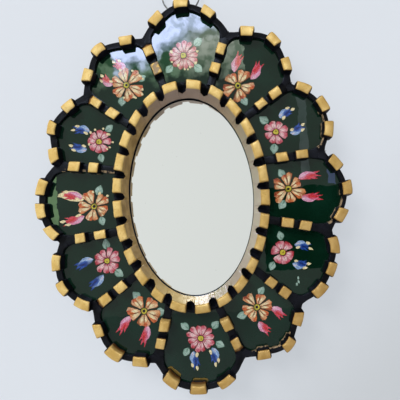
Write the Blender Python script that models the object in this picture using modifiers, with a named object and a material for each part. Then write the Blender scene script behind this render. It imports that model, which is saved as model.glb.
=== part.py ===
"""Oval wall mirror in a petal frame of painted glass.

A scalloped board carries an oval ring, twelve straight dividers and twelve curved rims, all carved
into blocks. Their lips hold twelve petal-shaped panes, and the ring lines the opening down to an oval
mirror, which a nailed panel closes from behind. A wire ring in a folded strap hangs it on a nail.

The pieces are laid out face up, with x to the right, y to the top of the mirror and z towards the
viewer, measured from the wall. The empty that carries them stands them up against the wall, y = 0.
"""
import bisect
import itertools
import math

import bmesh
import bpy
from mathutils import Vector

MM = 0.001
CLEARANCE = 0.3 * MM

# Plan of the frame: the middle lines of its strips, about the centre of the oval
RIM_HALF_WIDTH = 124.4 * MM      # to the crown of a side petal
RIM_HALF_HEIGHT = 156.8 * MM     # to the crown of the top petal
SIDE_SCALLOP = 15.2 * MM         # from the rims' crowns in to the oval on which they meet
TOP_SCALLOP = 21.3 * MM
OUTLINE_POWER = 1.86             # 2 gives an ellipse, less gives straighter shoulders
RING_HALF_WIDTH = 60.2 * MM
RING_HALF_HEIGHT = 91.4 * MM
JOINT_ANGLES = (75.8, 46.1, 15.7)    # rim joints of one quarter, as polar angles
FOOT_ANGLES = (72.0, 41.0, 15.0)     # dividers' feet on the ring, as angles of the ellipse

# Carved strips: blocks stand proud of the necks between them
BLOCK_WIDTH = 8.8 * MM
BLOCK_RISE = 9.3 * MM            # above the panes
BLOCK_BEVEL = 1.2 * MM
RIM_SLOPES = (0.3 * MM, 2.2 * MM)        # how far a rim block's outer and inner side lean in
DIVIDER_SLOPES = (1.0 * MM, 1.0 * MM)
RING_SLOPE = 0.9 * MM                    # the same for the outer side of the ring's blocks
BLOCK_SHOULDER = 1.5 * MM        # slope at each end of a block
NECK_WIDTH = 6.4 * MM
NECK_RISE = 2.4 * MM
LIP = 2.0 * MM                   # reach of a strip over a pane
RIM_BLOCK_LENGTH = 13.2 * MM
RIM_BLOCK_PITCH = 22.2 * MM
DIVIDER_BLOCK_LENGTH = 10.6 * MM
DIVIDER_BLOCK_PITCH = 16.2 * MM
DIVIDER_BLOCK_SHIFT = 1.2 * MM   # of the pair of blocks, outwards from the divider's middle
RING_BLOCK_LENGTH = 13.4 * MM
RING_BLOCKS = 25
RING_NOTCH = 3.5 * MM            # further depth of a notch where it runs into the ring's wall

# Ring wall, mirror and backing
WALL_SPLAY = 2.6 * MM            # the wall leans in by this much on its way down
COLLAR_THICKNESS = 5.0 * MM      # of the ring, where it stands on the mirror
MIRROR_BEARING = 5.0 * MM        # width of the board's rebate round the opening
PANEL_MARGIN = 11.0 * MM         # of the backing panel, round the mirror
PANEL_THICKNESS = 3.5 * MM
MIRROR_THICKNESS = 3.0 * MM
BOARD_THICKNESS = 12.0 * MM
BOARD_MARGIN = 2.6 * MM          # of the board, outside the rims' middle line
PANE_THICKNESS = 2.0 * MM

# Brads and hanger
BRADS = 6
BRAD_RADIUS = 0.7 * MM
BRAD_HEAD_RADIUS = 1.7 * MM
BRAD_HEAD_DEPTH = 0.8 * MM
BRAD_LENGTH = 10.0 * MM
BRAD_POINT = 1.4 * MM            # length of its tip
BORE_OVERRUN = 1.0 * MM          # of a brad's hole, behind its head
HANGER_RADIUS = 16.5 * MM        # of the wire ring, to the middle of its wire
HANGER_WIRE = 1.3 * MM
STRAP_WIDTH = 5.0 * MM
STRAP_THICKNESS = 0.6 * MM
STRAP_LENGTH = 20.0 * MM
STRAP_FOLD = 300.0               # degrees that the strap turns round the wire
NAIL_PITCH = 8.0 * MM

# Facets
RIM_OUTLINE_STEPS = 12
LONGEST_FACET = 6.5 * MM         # along a rim
OVAL_STEPS = 72
PANE_ARC_STEPS = 10
TURN_STEPS = 10
FOLD_STEPS = 14
LENGTH_STEPS = 720               # to measure along the ring
SHARP_FROM = 30.0                # degrees between faces that meet in a sharp edge
WIRE_STEPS = 40
WIRE_SIDES = 8

# Oval on which neighbouring rims meet
JOINT_HALF_WIDTH = RIM_HALF_WIDTH - SIDE_SCALLOP
JOINT_HALF_HEIGHT = RIM_HALF_HEIGHT - TOP_SCALLOP

# Heights above the wall, from the back to the front
BOARD_BACK = PANEL_THICKNESS + CLEARANCE
BOARD_FRONT = BOARD_BACK + BOARD_THICKNESS
MIRROR_BACK = BOARD_BACK + CLEARANCE
REBATE_FLOOR = MIRROR_BACK + MIRROR_THICKNESS + CLEARANCE
SEAT = BOARD_FRONT + CLEARANCE
PANE_FRONT = SEAT + PANE_THICKNESS
LIP_UNDER = PANE_FRONT + CLEARANCE
NECK_TOP = PANE_FRONT + NECK_RISE
BLOCK_TOP = PANE_FRONT + BLOCK_RISE

# Distances from a strip's middle line, outwards on the ring
STEP = NECK_WIDTH / 2 - LIP
PANE_EDGE = STEP + CLEARANCE
RING_OUTER = BLOCK_WIDTH / 2
RING_STEP = RING_OUTER - LIP
WALL_TOP = -BLOCK_WIDTH / 2
WALL_FOOT = WALL_TOP - WALL_SPLAY
COLLAR_OUTER = WALL_FOOT + COLLAR_THICKNESS
OPENING_EDGE = COLLAR_OUTER + CLEARANCE
MIRROR_EDGE = OPENING_EDGE + MIRROR_BEARING
REBATE_EDGE = MIRROR_EDGE + CLEARANCE
PANEL_EDGE = REBATE_EDGE + PANEL_MARGIN
BRAD_LINE = REBATE_EDGE + PANEL_MARGIN / 2


def empty_scene():
    """Remove whatever the open file holds."""
    for obj in list(bpy.data.objects):
        bpy.data.objects.remove(obj, do_unlink=True)


def new_collection(name, parent):
    """Collection linked under another one."""
    collection = bpy.data.collections.new(name)
    parent.children.link(collection)
    return collection


def make_material(name, colour, roughness, metallic=0.0):
    """Principled material with one colour."""
    material = bpy.data.materials.new(name)
    material.use_nodes = True
    shader = material.node_tree.nodes["Principled BSDF"]
    shader.inputs["Base Color"].default_value = (*colour, 1.0)
    shader.inputs["Roughness"].default_value = roughness
    shader.inputs["Metallic"].default_value = metallic
    return material


# Plan geometry

def superellipse(half_width, half_height, angle):
    """Point of the frame's outline at a polar angle."""
    across = abs(math.cos(angle) / half_width) ** OUTLINE_POWER
    upward = abs(math.sin(angle) / half_height) ** OUTLINE_POWER
    reach = (across + upward) ** (-1 / OUTLINE_POWER)
    return Vector((reach * math.cos(angle), reach * math.sin(angle)))


def ring_point(angle, offset=0.0):
    """Point at an angle of the ring's ellipse, moved outwards by an offset."""
    return Vector(((RING_HALF_WIDTH + offset) * math.cos(angle),
                   (RING_HALF_HEIGHT + offset) * math.sin(angle)))


def oval_outline(offset, steps=OVAL_STEPS):
    """Ellipse round the ring's middle line, moved outwards by an offset."""
    return [ring_point(math.tau * i / steps, offset) for i in range(steps)]


def all_round(quarter):
    """Twelve angles, clockwise from the top, that mirror the three of one quarter."""
    right = list(quarter) + [-angle for angle in reversed(quarter)]
    left = [angle - 180 for angle in quarter] + [180 - angle for angle in reversed(quarter)]
    return [math.radians(angle) for angle in right + left]


def line_meets_oval(start, heading, half_width, half_height, centre=Vector((0, 0))):
    """The two distances along a line at which it crosses an ellipse."""
    scale = Vector((1 / half_width, 1 / half_height))
    offset = (start - centre) * scale
    slope = heading * scale
    a = slope.dot(slope)
    b = offset.dot(slope)
    c = offset.dot(offset) - 1
    root = math.sqrt(b * b - a * c)
    return (-b - root) / a, (-b + root) / a


def circle_through(first, middle, last):
    """Centre of the circle through three points."""
    side = middle - first
    chord = last - first
    double_area = 2 * side.cross(chord)
    x = (chord.y * side.length_squared - side.y * chord.length_squared) / double_area
    y = (side.x * chord.length_squared - chord.x * side.length_squared) / double_area
    return first + Vector((x, y))


class Arc:
    """Middle line of a rim, a circle through two joints and the crown. Angles run clockwise from it."""

    def __init__(self, first, crown, last):
        self.centre = circle_through(first, crown, last)
        self.radius = (crown - self.centre).length
        self.outward = (crown - self.centre).normalized()
        self.clockwise = Vector((self.outward.y, -self.outward.x))

    def angle(self, point):
        offset = point - self.centre
        return math.atan2(offset.dot(self.clockwise), offset.dot(self.outward))

    def point(self, angle, offset=0.0):
        direction = math.cos(angle) * self.outward + math.sin(angle) * self.clockwise
        return self.centre + (self.radius + offset) * direction

    def heading(self, angle):
        return math.cos(angle) * self.clockwise - math.sin(angle) * self.outward

    def meets(self, cut, offset):
        """Angle at which the line at an offset from the arc crosses a cut."""
        start, heading = cut
        radius = self.radius + offset
        near = min(line_meets_oval(start, heading, radius, radius, self.centre), key=abs)
        return self.angle(start + near * heading)


class Bar:
    """Middle line of a divider, from its foot on the ring to the joint of two rims."""

    def __init__(self, foot, joint):
        self.foot = foot
        self.length = (joint - foot).length
        self.outward = (joint - foot).normalized()
        self.clockwise = Vector((self.outward.y, -self.outward.x))

    def point(self, distance, offset=0.0):
        return self.foot + distance * self.outward + offset * self.clockwise

    def meets(self, cut, offset):
        """Distance from the foot at which the line at an offset crosses a cut."""
        start, heading = cut
        return (start - self.point(0.0, offset)).cross(heading) / self.outward.cross(heading)

    def meets_ring(self, ring_offset, offset):
        """Distance from the foot at which the line at an offset crosses an ellipse round the ring."""
        half_width = RING_HALF_WIDTH + ring_offset
        half_height = RING_HALF_HEIGHT + ring_offset
        return min(line_meets_oval(self.point(0.0, offset), self.outward, half_width, half_height), key=abs)


def mitre(joint, own, other, gap=CLEARANCE):
    """Cut between two strips that leave a joint, as a start and a heading, on the first one's side."""
    heading = (own + other).normalized()
    side = (own - own.project(heading)).normalized()
    return joint + side * gap / 2, heading


class Plan:
    """Joints, arcs and bars of the twelve petals. Petal 0 is at the top, joint n follows petal n."""

    def __init__(self):
        angles = all_round(JOINT_ANGLES)
        feet = [ring_point(angle, RING_OUTER) for angle in all_round(FOOT_ANGLES)]
        self.count = len(angles)
        self.joints = [superellipse(JOINT_HALF_WIDTH, JOINT_HALF_HEIGHT, angle) for angle in angles]
        self.bars = [Bar(foot, joint) for foot, joint in zip(feet, self.joints)]
        self.arcs = [self.make_arc(angles, petal) for petal in range(self.count)]

    def make_arc(self, angles, petal):
        before = angles[petal - 1]
        after = angles[petal]
        middle = math.atan2(math.sin(before) + math.sin(after), math.cos(before) + math.cos(after))
        crown = superellipse(RIM_HALF_WIDTH, RIM_HALF_HEIGHT, middle)
        return Arc(self.joints[petal - 1], crown, self.joints[petal])

    def ways(self, number):
        """Headings in which the rim before, the rim after and the divider leave a joint."""
        joint = self.joints[number]
        before = self.arcs[number]
        after = self.arcs[(number + 1) % self.count]
        return (-before.heading(before.angle(joint)), after.heading(after.angle(joint)),
                -self.bars[number].outward)

    def rim_cuts(self, petal, gap=CLEARANCE):
        """Outer and inner cut at the first and at the last end of a petal's rim."""
        other, own, divider = self.ways(petal - 1)
        joint = self.joints[petal - 1]
        first = (mitre(joint, own, other, gap), mitre(joint, own, divider, gap))
        own, other, divider = self.ways(petal)
        joint = self.joints[petal]
        last = (mitre(joint, own, other, gap), mitre(joint, own, divider, gap))
        return first, last

    def bar_cuts(self, number):
        """Cuts at a divider's outer end, on the side of the rim after and of the rim before."""
        before, after, own = self.ways(number)
        joint = self.joints[number]
        return mitre(joint, own, after), mitre(joint, own, before)


# Solids

def place(obj, collection, stand, materials=()):
    """Put an object in its collection, on the stand, with its materials."""
    collection.objects.link(obj)
    obj.parent = stand
    for material in materials:
        obj.data.materials.append(material)
    return obj


def loft(name, sections, gilded_sides=(), caps=()):
    """Skin over a row of sections, closed into a loop unless it has caps. Block tops are gilded."""
    bm = bmesh.new()
    rows = [[bm.verts.new(point) for point in section] for section in sections]
    following = rows[1:] if caps else rows[1:] + rows[:1]
    for row, next_row in zip(rows, following):
        for side in range(len(row)):
            after = (side + 1) % len(row)
            face = bm.faces.new((row[side], row[after], next_row[after], next_row[side]))
            on_top = min(vertex.co.z for vertex in face.verts) > NECK_TOP
            face.material_index = 1 if on_top or side in gilded_sides else 0
    for row in (rows[0], rows[-1]):
        for cap in caps:
            bm.faces.new([row[index] for index in cap])
    bmesh.ops.recalc_face_normals(bm, faces=bm.faces)
    mesh = bpy.data.meshes.new(name)
    bm.to_mesh(mesh)
    bm.free()
    mesh.shade_smooth()
    mesh.set_sharp_from_angle(angle=math.radians(SHARP_FROM))
    return bpy.data.objects.new(name, mesh)


def plate(name, outlines, low, high, rotation=(0, 0, 0)):
    """Flat piece with the given outlines, between two heights."""
    curve = bpy.data.curves.new(name, 'CURVE')
    curve.dimensions = '2D'
    curve.fill_mode = 'BOTH'
    curve.extrude = (high - low) / 2
    for outline in outlines:
        spline = curve.splines.new('POLY')
        spline.points.add(len(outline) - 1)
        for point, position in zip(spline.points, outline):
            point.co = (position[0], position[1], 0, 1)
        spline.use_cyclic_u = True
    obj = bpy.data.objects.new(name, curve)
    obj.rotation_euler = rotation
    obj.location.z = (high + low) / 2
    return obj


def cuttable(obj):
    """Mesh copy of a curve piece, with its caps welded, in the curve's place."""
    name = obj.name
    bpy.context.scene.collection.objects.link(obj)
    graph = bpy.context.evaluated_depsgraph_get()
    mesh = bpy.data.meshes.new_from_object(obj.evaluated_get(graph))
    bm = bmesh.new()
    bm.from_mesh(mesh)
    bmesh.ops.remove_doubles(bm, verts=bm.verts, dist=CLEARANCE / 100)
    bm.to_mesh(mesh)
    bm.free()
    solid = bpy.data.objects.new(name, mesh)
    solid.rotation_euler = obj.rotation_euler
    solid.location = obj.location
    bpy.data.objects.remove(obj)
    solid.name = name
    return solid


def turned(name, profile, location):
    """Solid turned about z from a profile of (radius, height), from its top to its bottom."""
    mesh = bpy.data.meshes.new(name)
    edges = [(index, index + 1) for index in range(len(profile) - 1)]
    mesh.from_pydata([(radius, 0, height) for radius, height in profile], edges, [])
    obj = bpy.data.objects.new(name, mesh)
    obj.location = location
    turn = obj.modifiers.new("Turn", 'SCREW')
    turn.steps = turn.render_steps = TURN_STEPS
    turn.use_merge_vertices = True
    turn.merge_threshold = CLEARANCE / 100
    turn.use_smooth_shade = True
    return obj


def cut_by(obj, cutters):
    """Subtract every solid of a collection."""
    cut = obj.modifiers.new("Cut", 'BOOLEAN')
    cut.operation = 'DIFFERENCE'
    cut.solver = 'EXACT'
    cut.operand_type = 'COLLECTION'
    cut.collection = cutters


# Carved strips

def block_stations(centres, length):
    """Places along a strip and whether the strip has its full section there."""
    stations = []
    for centre in centres:
        stations += [(centre - length / 2, False), (centre - length / 2 + BLOCK_SHOULDER, True),
                     (centre + length / 2 - BLOCK_SHOULDER, True), (centre + length / 2, False)]
    return stations


def refine(stations):
    """Add stations, so that the facets of a curved strip stay close to its arc."""
    refined = stations[:1]
    for (start, start_is_block), (end, end_is_block) in zip(stations, stations[1:]):
        parts = math.ceil((end - start) / LONGEST_FACET)
        for part in range(1, parts):
            refined.append((start + (end - start) * part / parts, start_is_block and end_is_block))
        refined.append((end, end_is_block))
    return refined


def crown_profile(is_block, slopes):
    """Upper part of a strip's section, from its clockwise or outer side across the top. A neck is upright."""
    if is_block:
        outer = BLOCK_WIDTH / 2 - slopes[0]
        inner = BLOCK_WIDTH / 2 - slopes[1]
        top = BLOCK_TOP
    else:
        outer = inner = NECK_WIDTH / 2
        top = NECK_TOP
    return [(outer, top - BLOCK_BEVEL), (outer - BLOCK_BEVEL, top), (0.0, top),
            (BLOCK_BEVEL - inner, top), (-inner, top - BLOCK_BEVEL)]


def rim_profile(is_block):
    """Section of a rim as (offset outwards, height), with its lip on the inner side."""
    half_width = (BLOCK_WIDTH if is_block else NECK_WIDTH) / 2
    lip = [(-half_width, LIP_UNDER), (-STEP, LIP_UNDER), (-STEP, SEAT)]
    return [(half_width, SEAT)] + crown_profile(is_block, RIM_SLOPES) + lip + [(0.0, SEAT)]


def bar_profile(is_block):
    """Section of a divider as (offset clockwise, height), with a lip on both sides."""
    half_width = (BLOCK_WIDTH if is_block else NECK_WIDTH) / 2
    foot = [(-half_width, LIP_UNDER), (-STEP, LIP_UNDER), (-STEP, SEAT), (0.0, SEAT),
            (STEP, SEAT), (STEP, LIP_UNDER)]
    return [(half_width, LIP_UNDER)] + crown_profile(is_block, DIVIDER_SLOPES) + foot


def end_faces(profile):
    """Faces that close a strip's end, parted along its middle line, as indices of its section."""
    top, bottom = (index for index, (offset, height) in enumerate(profile) if offset == 0)
    return list(range(top, bottom + 1)), list(range(bottom, len(profile))) + list(range(top + 1))


def end_place(offset, positive, negative):
    """Where a strip's line ends: at one cut on each side, and short of both in the middle."""
    if offset > 0:
        return positive(offset)
    if offset < 0:
        return negative(offset)
    return min(positive(offset), negative(offset), key=abs)


def make_rim(plan, petal):
    """Curved strip round one petal, with its three blocks, mitred at both ends."""
    arc = plan.arcs[petal]
    first, last = plan.rim_cuts(petal)

    def section(is_block, angle_at):
        return [(*arc.point(angle_at(offset), offset), height) for offset, height in rim_profile(is_block)]

    def end_section(outer, inner):
        return section(False, lambda offset: end_place(offset, lambda n: arc.meets(outer, n),
                                                       lambda n: arc.meets(inner, n)))

    stations = block_stations((-RIM_BLOCK_PITCH, 0.0, RIM_BLOCK_PITCH), RIM_BLOCK_LENGTH)
    ends = [(arc.radius * arc.angle(plan.joints[joint]), False) for joint in (petal - 1, petal)]
    stations = refine(ends[:1] + stations + ends[1:])[1:-1]
    sections = [section(is_block, lambda offset, angle=distance / arc.radius: angle)
                for distance, is_block in stations]
    return loft(f"petal_rim_{petal + 1:02d}", [end_section(*first)] + sections + [end_section(*last)],
                caps=end_faces(rim_profile(False)))


def make_divider(plan, number):
    """Straight strip between two petals, pointed into the joint of their rims."""
    bar = plan.bars[number]
    after, before = plan.bar_cuts(number)
    inner = [(*bar.point(bar.meets_ring(RING_OUTER + CLEARANCE, offset), offset), height)
             for offset, height in bar_profile(False)]
    outer = [(*bar.point(end_place(offset, lambda n: bar.meets(after, n), lambda n: bar.meets(before, n)),
                         offset), height) for offset, height in bar_profile(False)]
    middle = bar.length / 2 + DIVIDER_BLOCK_SHIFT
    centres = (middle - DIVIDER_BLOCK_PITCH / 2, middle + DIVIDER_BLOCK_PITCH / 2)
    sections = [[(*bar.point(distance, offset), height) for offset, height in bar_profile(is_block)]
                for distance, is_block in block_stations(centres, DIVIDER_BLOCK_LENGTH)]
    return loft(f"divider_{number + 1:02d}", [inner] + sections + [outer],
                caps=end_faces(bar_profile(False)))


def ring_profile(is_block, notch=0.0):
    """Section of the ring as (offset outwards, height), from its outer lip over the top to its foot."""
    top = BLOCK_TOP if is_block else NECK_TOP
    wall_start = top - BLOCK_BEVEL - notch
    lean = WALL_SPLAY * (BLOCK_TOP - wall_start) / (BLOCK_TOP - REBATE_FLOOR)
    outer = RING_OUTER - RING_SLOPE
    return [(RING_OUTER, LIP_UNDER), (outer, top - BLOCK_BEVEL), (outer - BLOCK_BEVEL, top),
            (WALL_TOP + BLOCK_BEVEL, top), (WALL_TOP - lean, wall_start),
            (WALL_FOOT, REBATE_FLOOR), (COLLAR_OUTER, REBATE_FLOOR), (COLLAR_OUTER, SEAT),
            (RING_STEP, SEAT), (RING_STEP, LIP_UNDER)]


class RingLine:
    """Middle line of the ring, measured clockwise from the top."""

    def __init__(self):
        self.angles = [math.pi / 2 - math.tau * i / LENGTH_STEPS for i in range(LENGTH_STEPS + 1)]
        points = [ring_point(angle) for angle in self.angles]
        sides = [(following - point).length for point, following in zip(points, points[1:])]
        self.distances = list(itertools.accumulate(sides, initial=0.0))
        self.length = self.distances[-1]

    def angle_at(self, distance):
        """Angle of the ring's ellipse at a distance along it."""
        index = bisect.bisect_right(self.distances, distance, hi=LENGTH_STEPS) - 1
        start, end = self.distances[index:index + 2]
        share = (distance - start) / (end - start)
        return self.angles[index] + share * (self.angles[index + 1] - self.angles[index])


def make_ring():
    """Oval ring of blocks with a gilded wall that lines the opening down to the mirror."""
    line = RingLine()
    pitch = line.length / RING_BLOCKS
    stations = []
    for number in range(RING_BLOCKS):
        centre = (number + 0.5) * pitch
        stations.append((number * pitch, ring_profile(False, RING_NOTCH)))
        for distance, is_block in block_stations([centre], RING_BLOCK_LENGTH):
            stations.append((distance, ring_profile(is_block)))
    sections = [[(*ring_point(line.angle_at(distance), offset), height) for offset, height in profile]
                for distance, profile in stations]
    wall_foot = ring_profile(True).index((WALL_FOOT, REBATE_FLOOR))
    return loft("oval_ring", sections, gilded_sides=(wall_foot - 1,))


# Flat pieces

def pane_outline(plan, petal):
    """Outline of a petal's pane, set back from the strips' steps."""
    arc = plan.arcs[petal]
    before = plan.bars[petal - 1]
    after = plan.bars[petal]
    radius = arc.radius - PANE_EDGE
    ends = []
    feet = []
    for bar, offset in ((before, PANE_EDGE), (after, -PANE_EDGE)):
        start = bar.point(0.0, offset)
        far = max(line_meets_oval(start, bar.outward, radius, radius, arc.centre))
        ends.append(arc.angle(bar.point(far, offset)))
        foot = bar.point(bar.meets_ring(RING_STEP + CLEARANCE, offset), offset)
        feet.append(math.atan2(foot.y / (RING_HALF_HEIGHT + RING_STEP + CLEARANCE),
                               foot.x / (RING_HALF_WIDTH + RING_STEP + CLEARANCE)))
    turn = (feet[0] - feet[1]) % math.tau
    steps = range(PANE_ARC_STEPS + 1)
    rim_side = [arc.point(ends[0] + (ends[1] - ends[0]) * i / PANE_ARC_STEPS, -PANE_EDGE) for i in steps]
    ring_side = [ring_point(feet[1] + turn * i / PANE_ARC_STEPS, RING_STEP + CLEARANCE) for i in steps]
    return rim_side + ring_side


def board_outline(plan):
    """Scalloped edge of the board, just inside the rims' outer edge."""
    outline = []
    for petal, arc in enumerate(plan.arcs):
        first, last = plan.rim_cuts(petal, gap=0.0)
        start = arc.meets(first[0], BOARD_MARGIN)
        end = arc.meets(last[0], BOARD_MARGIN)
        for i in range(1, RIM_OUTLINE_STEPS + 1):
            outline.append(arc.point(start + (end - start) * i / RIM_OUTLINE_STEPS, BOARD_MARGIN))
    return outline


# Hanger

def knuckle_bore():
    """Radius inside the strap's fold, with room for the curve of the wire ring."""
    bow = (STRAP_WIDTH / 2) ** 2 / (2 * HANGER_RADIUS)
    return HANGER_WIRE / 2 + bow + CLEARANCE


def knuckle_place():
    """Height on the mirror and above the wall of the fold's axis, on which the ring swings."""
    outer = knuckle_bore() + STRAP_THICKNESS
    return RIM_HALF_HEIGHT + BOARD_MARGIN + CLEARANCE + outer, BOARD_BACK - CLEARANCE - outer


def strap_outline():
    """Side view of the strap as (height on the mirror, height above the wall): a leaf and its fold."""
    top, depth = knuckle_place()
    bore = knuckle_bore()
    outer = bore + STRAP_THICKNESS
    turns = [math.radians(STRAP_FOLD) * i / FOLD_STEPS for i in range(FOLD_STEPS + 1)]
    outside = [(top + outer * math.sin(turn), depth + outer * math.cos(turn)) for turn in turns]
    inside = [(top + bore * math.sin(turn), depth + bore * math.cos(turn)) for turn in reversed(turns)]
    leaf_end = top - STRAP_LENGTH
    return [(leaf_end, depth + bore), (leaf_end, depth + outer)] + outside + inside


def nail_profile(low):
    """Turned profile of a brad that points forwards, with its head's back at a height above the wall."""
    head = low + BRAD_HEAD_DEPTH
    tip = low + BRAD_LENGTH
    return [(0.0, tip), (BRAD_RADIUS, tip - BRAD_POINT), (BRAD_RADIUS, head), (BRAD_HEAD_RADIUS, head),
            (BRAD_HEAD_RADIUS, low), (0.0, low)]


def bore_profile(low):
    """Profile of the hole for such a brad, with a clearance all round and open to the back."""
    grown = [(radius + CLEARANCE, height + CLEARANCE) for radius, height in nail_profile(low)[:4]]
    bottom = low - BORE_OVERRUN
    return [(0.0, grown[0][1])] + grown[1:] + [(grown[-1][0], bottom), (0.0, bottom)]


def brad_places():
    """Places of the brads round the backing panel."""
    return [ring_point(math.tau * (i + 0.5) / BRADS, BRAD_LINE) for i in range(BRADS)]


def nail_places():
    """Places of the two nails on the strap's leaf."""
    middle = knuckle_place()[0] - STRAP_LENGTH / 2 - STRAP_THICKNESS
    return [Vector((0.0, middle + NAIL_PITCH / 2)), Vector((0.0, middle - NAIL_PITCH / 2))]


# Assembly

def build():
    """Make every piece and stand the mirror up."""
    empty_scene()
    scene_collection = bpy.context.scene.collection
    pieces = new_collection("oval_petal_mirror", scene_collection)
    cutters = new_collection("cutters", scene_collection)
    stand = bpy.data.objects.new("stand", None)
    stand.rotation_euler.x = math.pi / 2
    pieces.objects.link(stand)
    plan = Plan()

    cedar = make_material("cedar_board", (0.30, 0.17, 0.09), 0.7)
    black = make_material("black_lacquer", (0.012, 0.012, 0.015), 0.35)
    gilt = make_material("gold_leaf", (0.83, 0.60, 0.24), 0.32, 1.0)
    green_glass = make_material("green_glass", (0.03, 0.07, 0.05), 0.05)
    silvering = make_material("mirror_silver", (0.86, 0.88, 0.87), 0.02, 1.0)
    panel_wood = make_material("panel_plywood", (0.47, 0.34, 0.20), 0.75)
    steel = make_material("brad_steel", (0.45, 0.45, 0.46), 0.4, 1.0)
    brass = make_material("strap_brass", (0.62, 0.47, 0.22), 0.4, 1.0)
    wire = make_material("ring_wire", (0.60, 0.60, 0.60), 0.3, 1.0)

    # Cutters: the mirror's rebate, and the bores of the brads and nails
    rebate = new_collection("mirror_rebate", cutters)
    brad_bores = new_collection("brad_bores", cutters)
    nail_bores = new_collection("nail_bores", cutters)
    strap_back = BOARD_BACK - CLEARANCE - STRAP_THICKNESS
    nail_low = strap_back - CLEARANCE - BRAD_HEAD_DEPTH
    place(cuttable(plate("rebate_cutter", [oval_outline(REBATE_EDGE)], 0.0, REBATE_FLOOR)), rebate, stand)
    for number, position in enumerate(brad_places(), 1):
        place(turned(f"brad_bore_{number}", bore_profile(CLEARANCE), (*position, 0.0)), brad_bores, stand)
    for number, position in enumerate(nail_places(), 1):
        place(turned(f"nail_bore_{number}", bore_profile(nail_low), (*position, 0.0)), nail_bores, stand)
    for cutter in cutters.all_objects:
        cutter.hide_render = True
        cutter.display_type = 'WIRE'

    board = cuttable(plate("base_board", [board_outline(plan), oval_outline(OPENING_EDGE)],
                           BOARD_BACK, BOARD_FRONT))
    for tools in (rebate, brad_bores, nail_bores):
        cut_by(board, tools)
    place(board, pieces, stand, [cedar])
    panel = cuttable(plate("backing_panel", [oval_outline(PANEL_EDGE)], 0.0, PANEL_THICKNESS))
    cut_by(panel, brad_bores)
    place(panel, pieces, stand, [panel_wood])
    mirror = plate("mirror_glass", [oval_outline(MIRROR_EDGE)], MIRROR_BACK, MIRROR_BACK + MIRROR_THICKNESS)
    place(mirror, pieces, stand, [silvering])

    place(make_ring(), pieces, stand, [black, gilt])
    for petal in range(plan.count):
        place(make_rim(plan, petal), pieces, stand, [black, gilt])
        place(make_divider(plan, petal), pieces, stand, [black, gilt])
        pane = plate(f"petal_glass_{petal + 1:02d}", [pane_outline(plan, petal)], SEAT, PANE_FRONT)
        place(pane, pieces, stand, [green_glass])

    for number, position in enumerate(brad_places(), 1):
        brad = turned(f"backing_brad_{number}", nail_profile(CLEARANCE), (*position, 0.0))
        place(brad, pieces, stand, [steel])
    for number, position in enumerate(nail_places(), 1):
        nail = turned(f"hanger_nail_{number}", nail_profile(nail_low), (*position, 0.0))
        place(nail, pieces, stand, [steel])

    sideways = (math.pi / 2, 0, math.pi / 2)
    strap = cuttable(plate("hanger_strap", [strap_outline()], -STRAP_WIDTH / 2, STRAP_WIDTH / 2, sideways))
    cut_by(strap, nail_bores)
    place(strap, pieces, stand, [brass])

    pivot = bpy.data.objects.new("ring_pivot", None)
    pivot.location = (0.0, *knuckle_place())
    place(pivot, pieces, stand)
    bpy.ops.mesh.primitive_torus_add(major_radius=HANGER_RADIUS, minor_radius=HANGER_WIRE / 2,
                                     major_segments=WIRE_STEPS, minor_segments=WIRE_SIDES)
    ring = bpy.context.object
    ring.name = "hanging_ring"
    ring.data.shade_smooth()
    for collection in list(ring.users_collection):
        collection.objects.unlink(ring)
    place(ring, pieces, pivot, [wire])
    ring.location.y = HANGER_RADIUS


build()
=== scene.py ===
"""Looks of the oval wall mirror: carved and gilded strips, painted panes, mirror, wood and hanger.

Lengths are in mm, and on the stage in metres. Pieces are laid out face up, with x to the right, y to the top
and z from the wall to the viewer, and stand() takes a point of that plan to its place on the wall.
"""
import bisect
import itertools
import math
import random

import bmesh
import bpy
from mathutils import Matrix, Vector, noise


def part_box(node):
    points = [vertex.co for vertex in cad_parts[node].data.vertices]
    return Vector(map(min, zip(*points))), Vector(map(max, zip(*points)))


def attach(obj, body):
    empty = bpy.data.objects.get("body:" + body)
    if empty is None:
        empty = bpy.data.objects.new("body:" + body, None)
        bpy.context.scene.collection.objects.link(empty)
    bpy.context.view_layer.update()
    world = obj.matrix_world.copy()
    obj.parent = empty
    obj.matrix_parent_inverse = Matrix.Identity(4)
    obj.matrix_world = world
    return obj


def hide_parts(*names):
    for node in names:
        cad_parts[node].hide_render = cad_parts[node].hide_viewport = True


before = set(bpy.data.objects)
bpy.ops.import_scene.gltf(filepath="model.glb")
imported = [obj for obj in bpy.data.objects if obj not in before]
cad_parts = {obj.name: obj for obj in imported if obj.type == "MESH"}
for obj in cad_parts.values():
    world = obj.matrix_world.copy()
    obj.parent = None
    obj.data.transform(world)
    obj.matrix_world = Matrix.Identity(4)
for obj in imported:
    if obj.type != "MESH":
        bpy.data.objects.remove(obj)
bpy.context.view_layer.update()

BODY = "mirror"
RING_BODY = "wire_ring"
MM = 0.001
NOISE_SEED = 1
noise.seed_set(NOISE_SEED)

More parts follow.
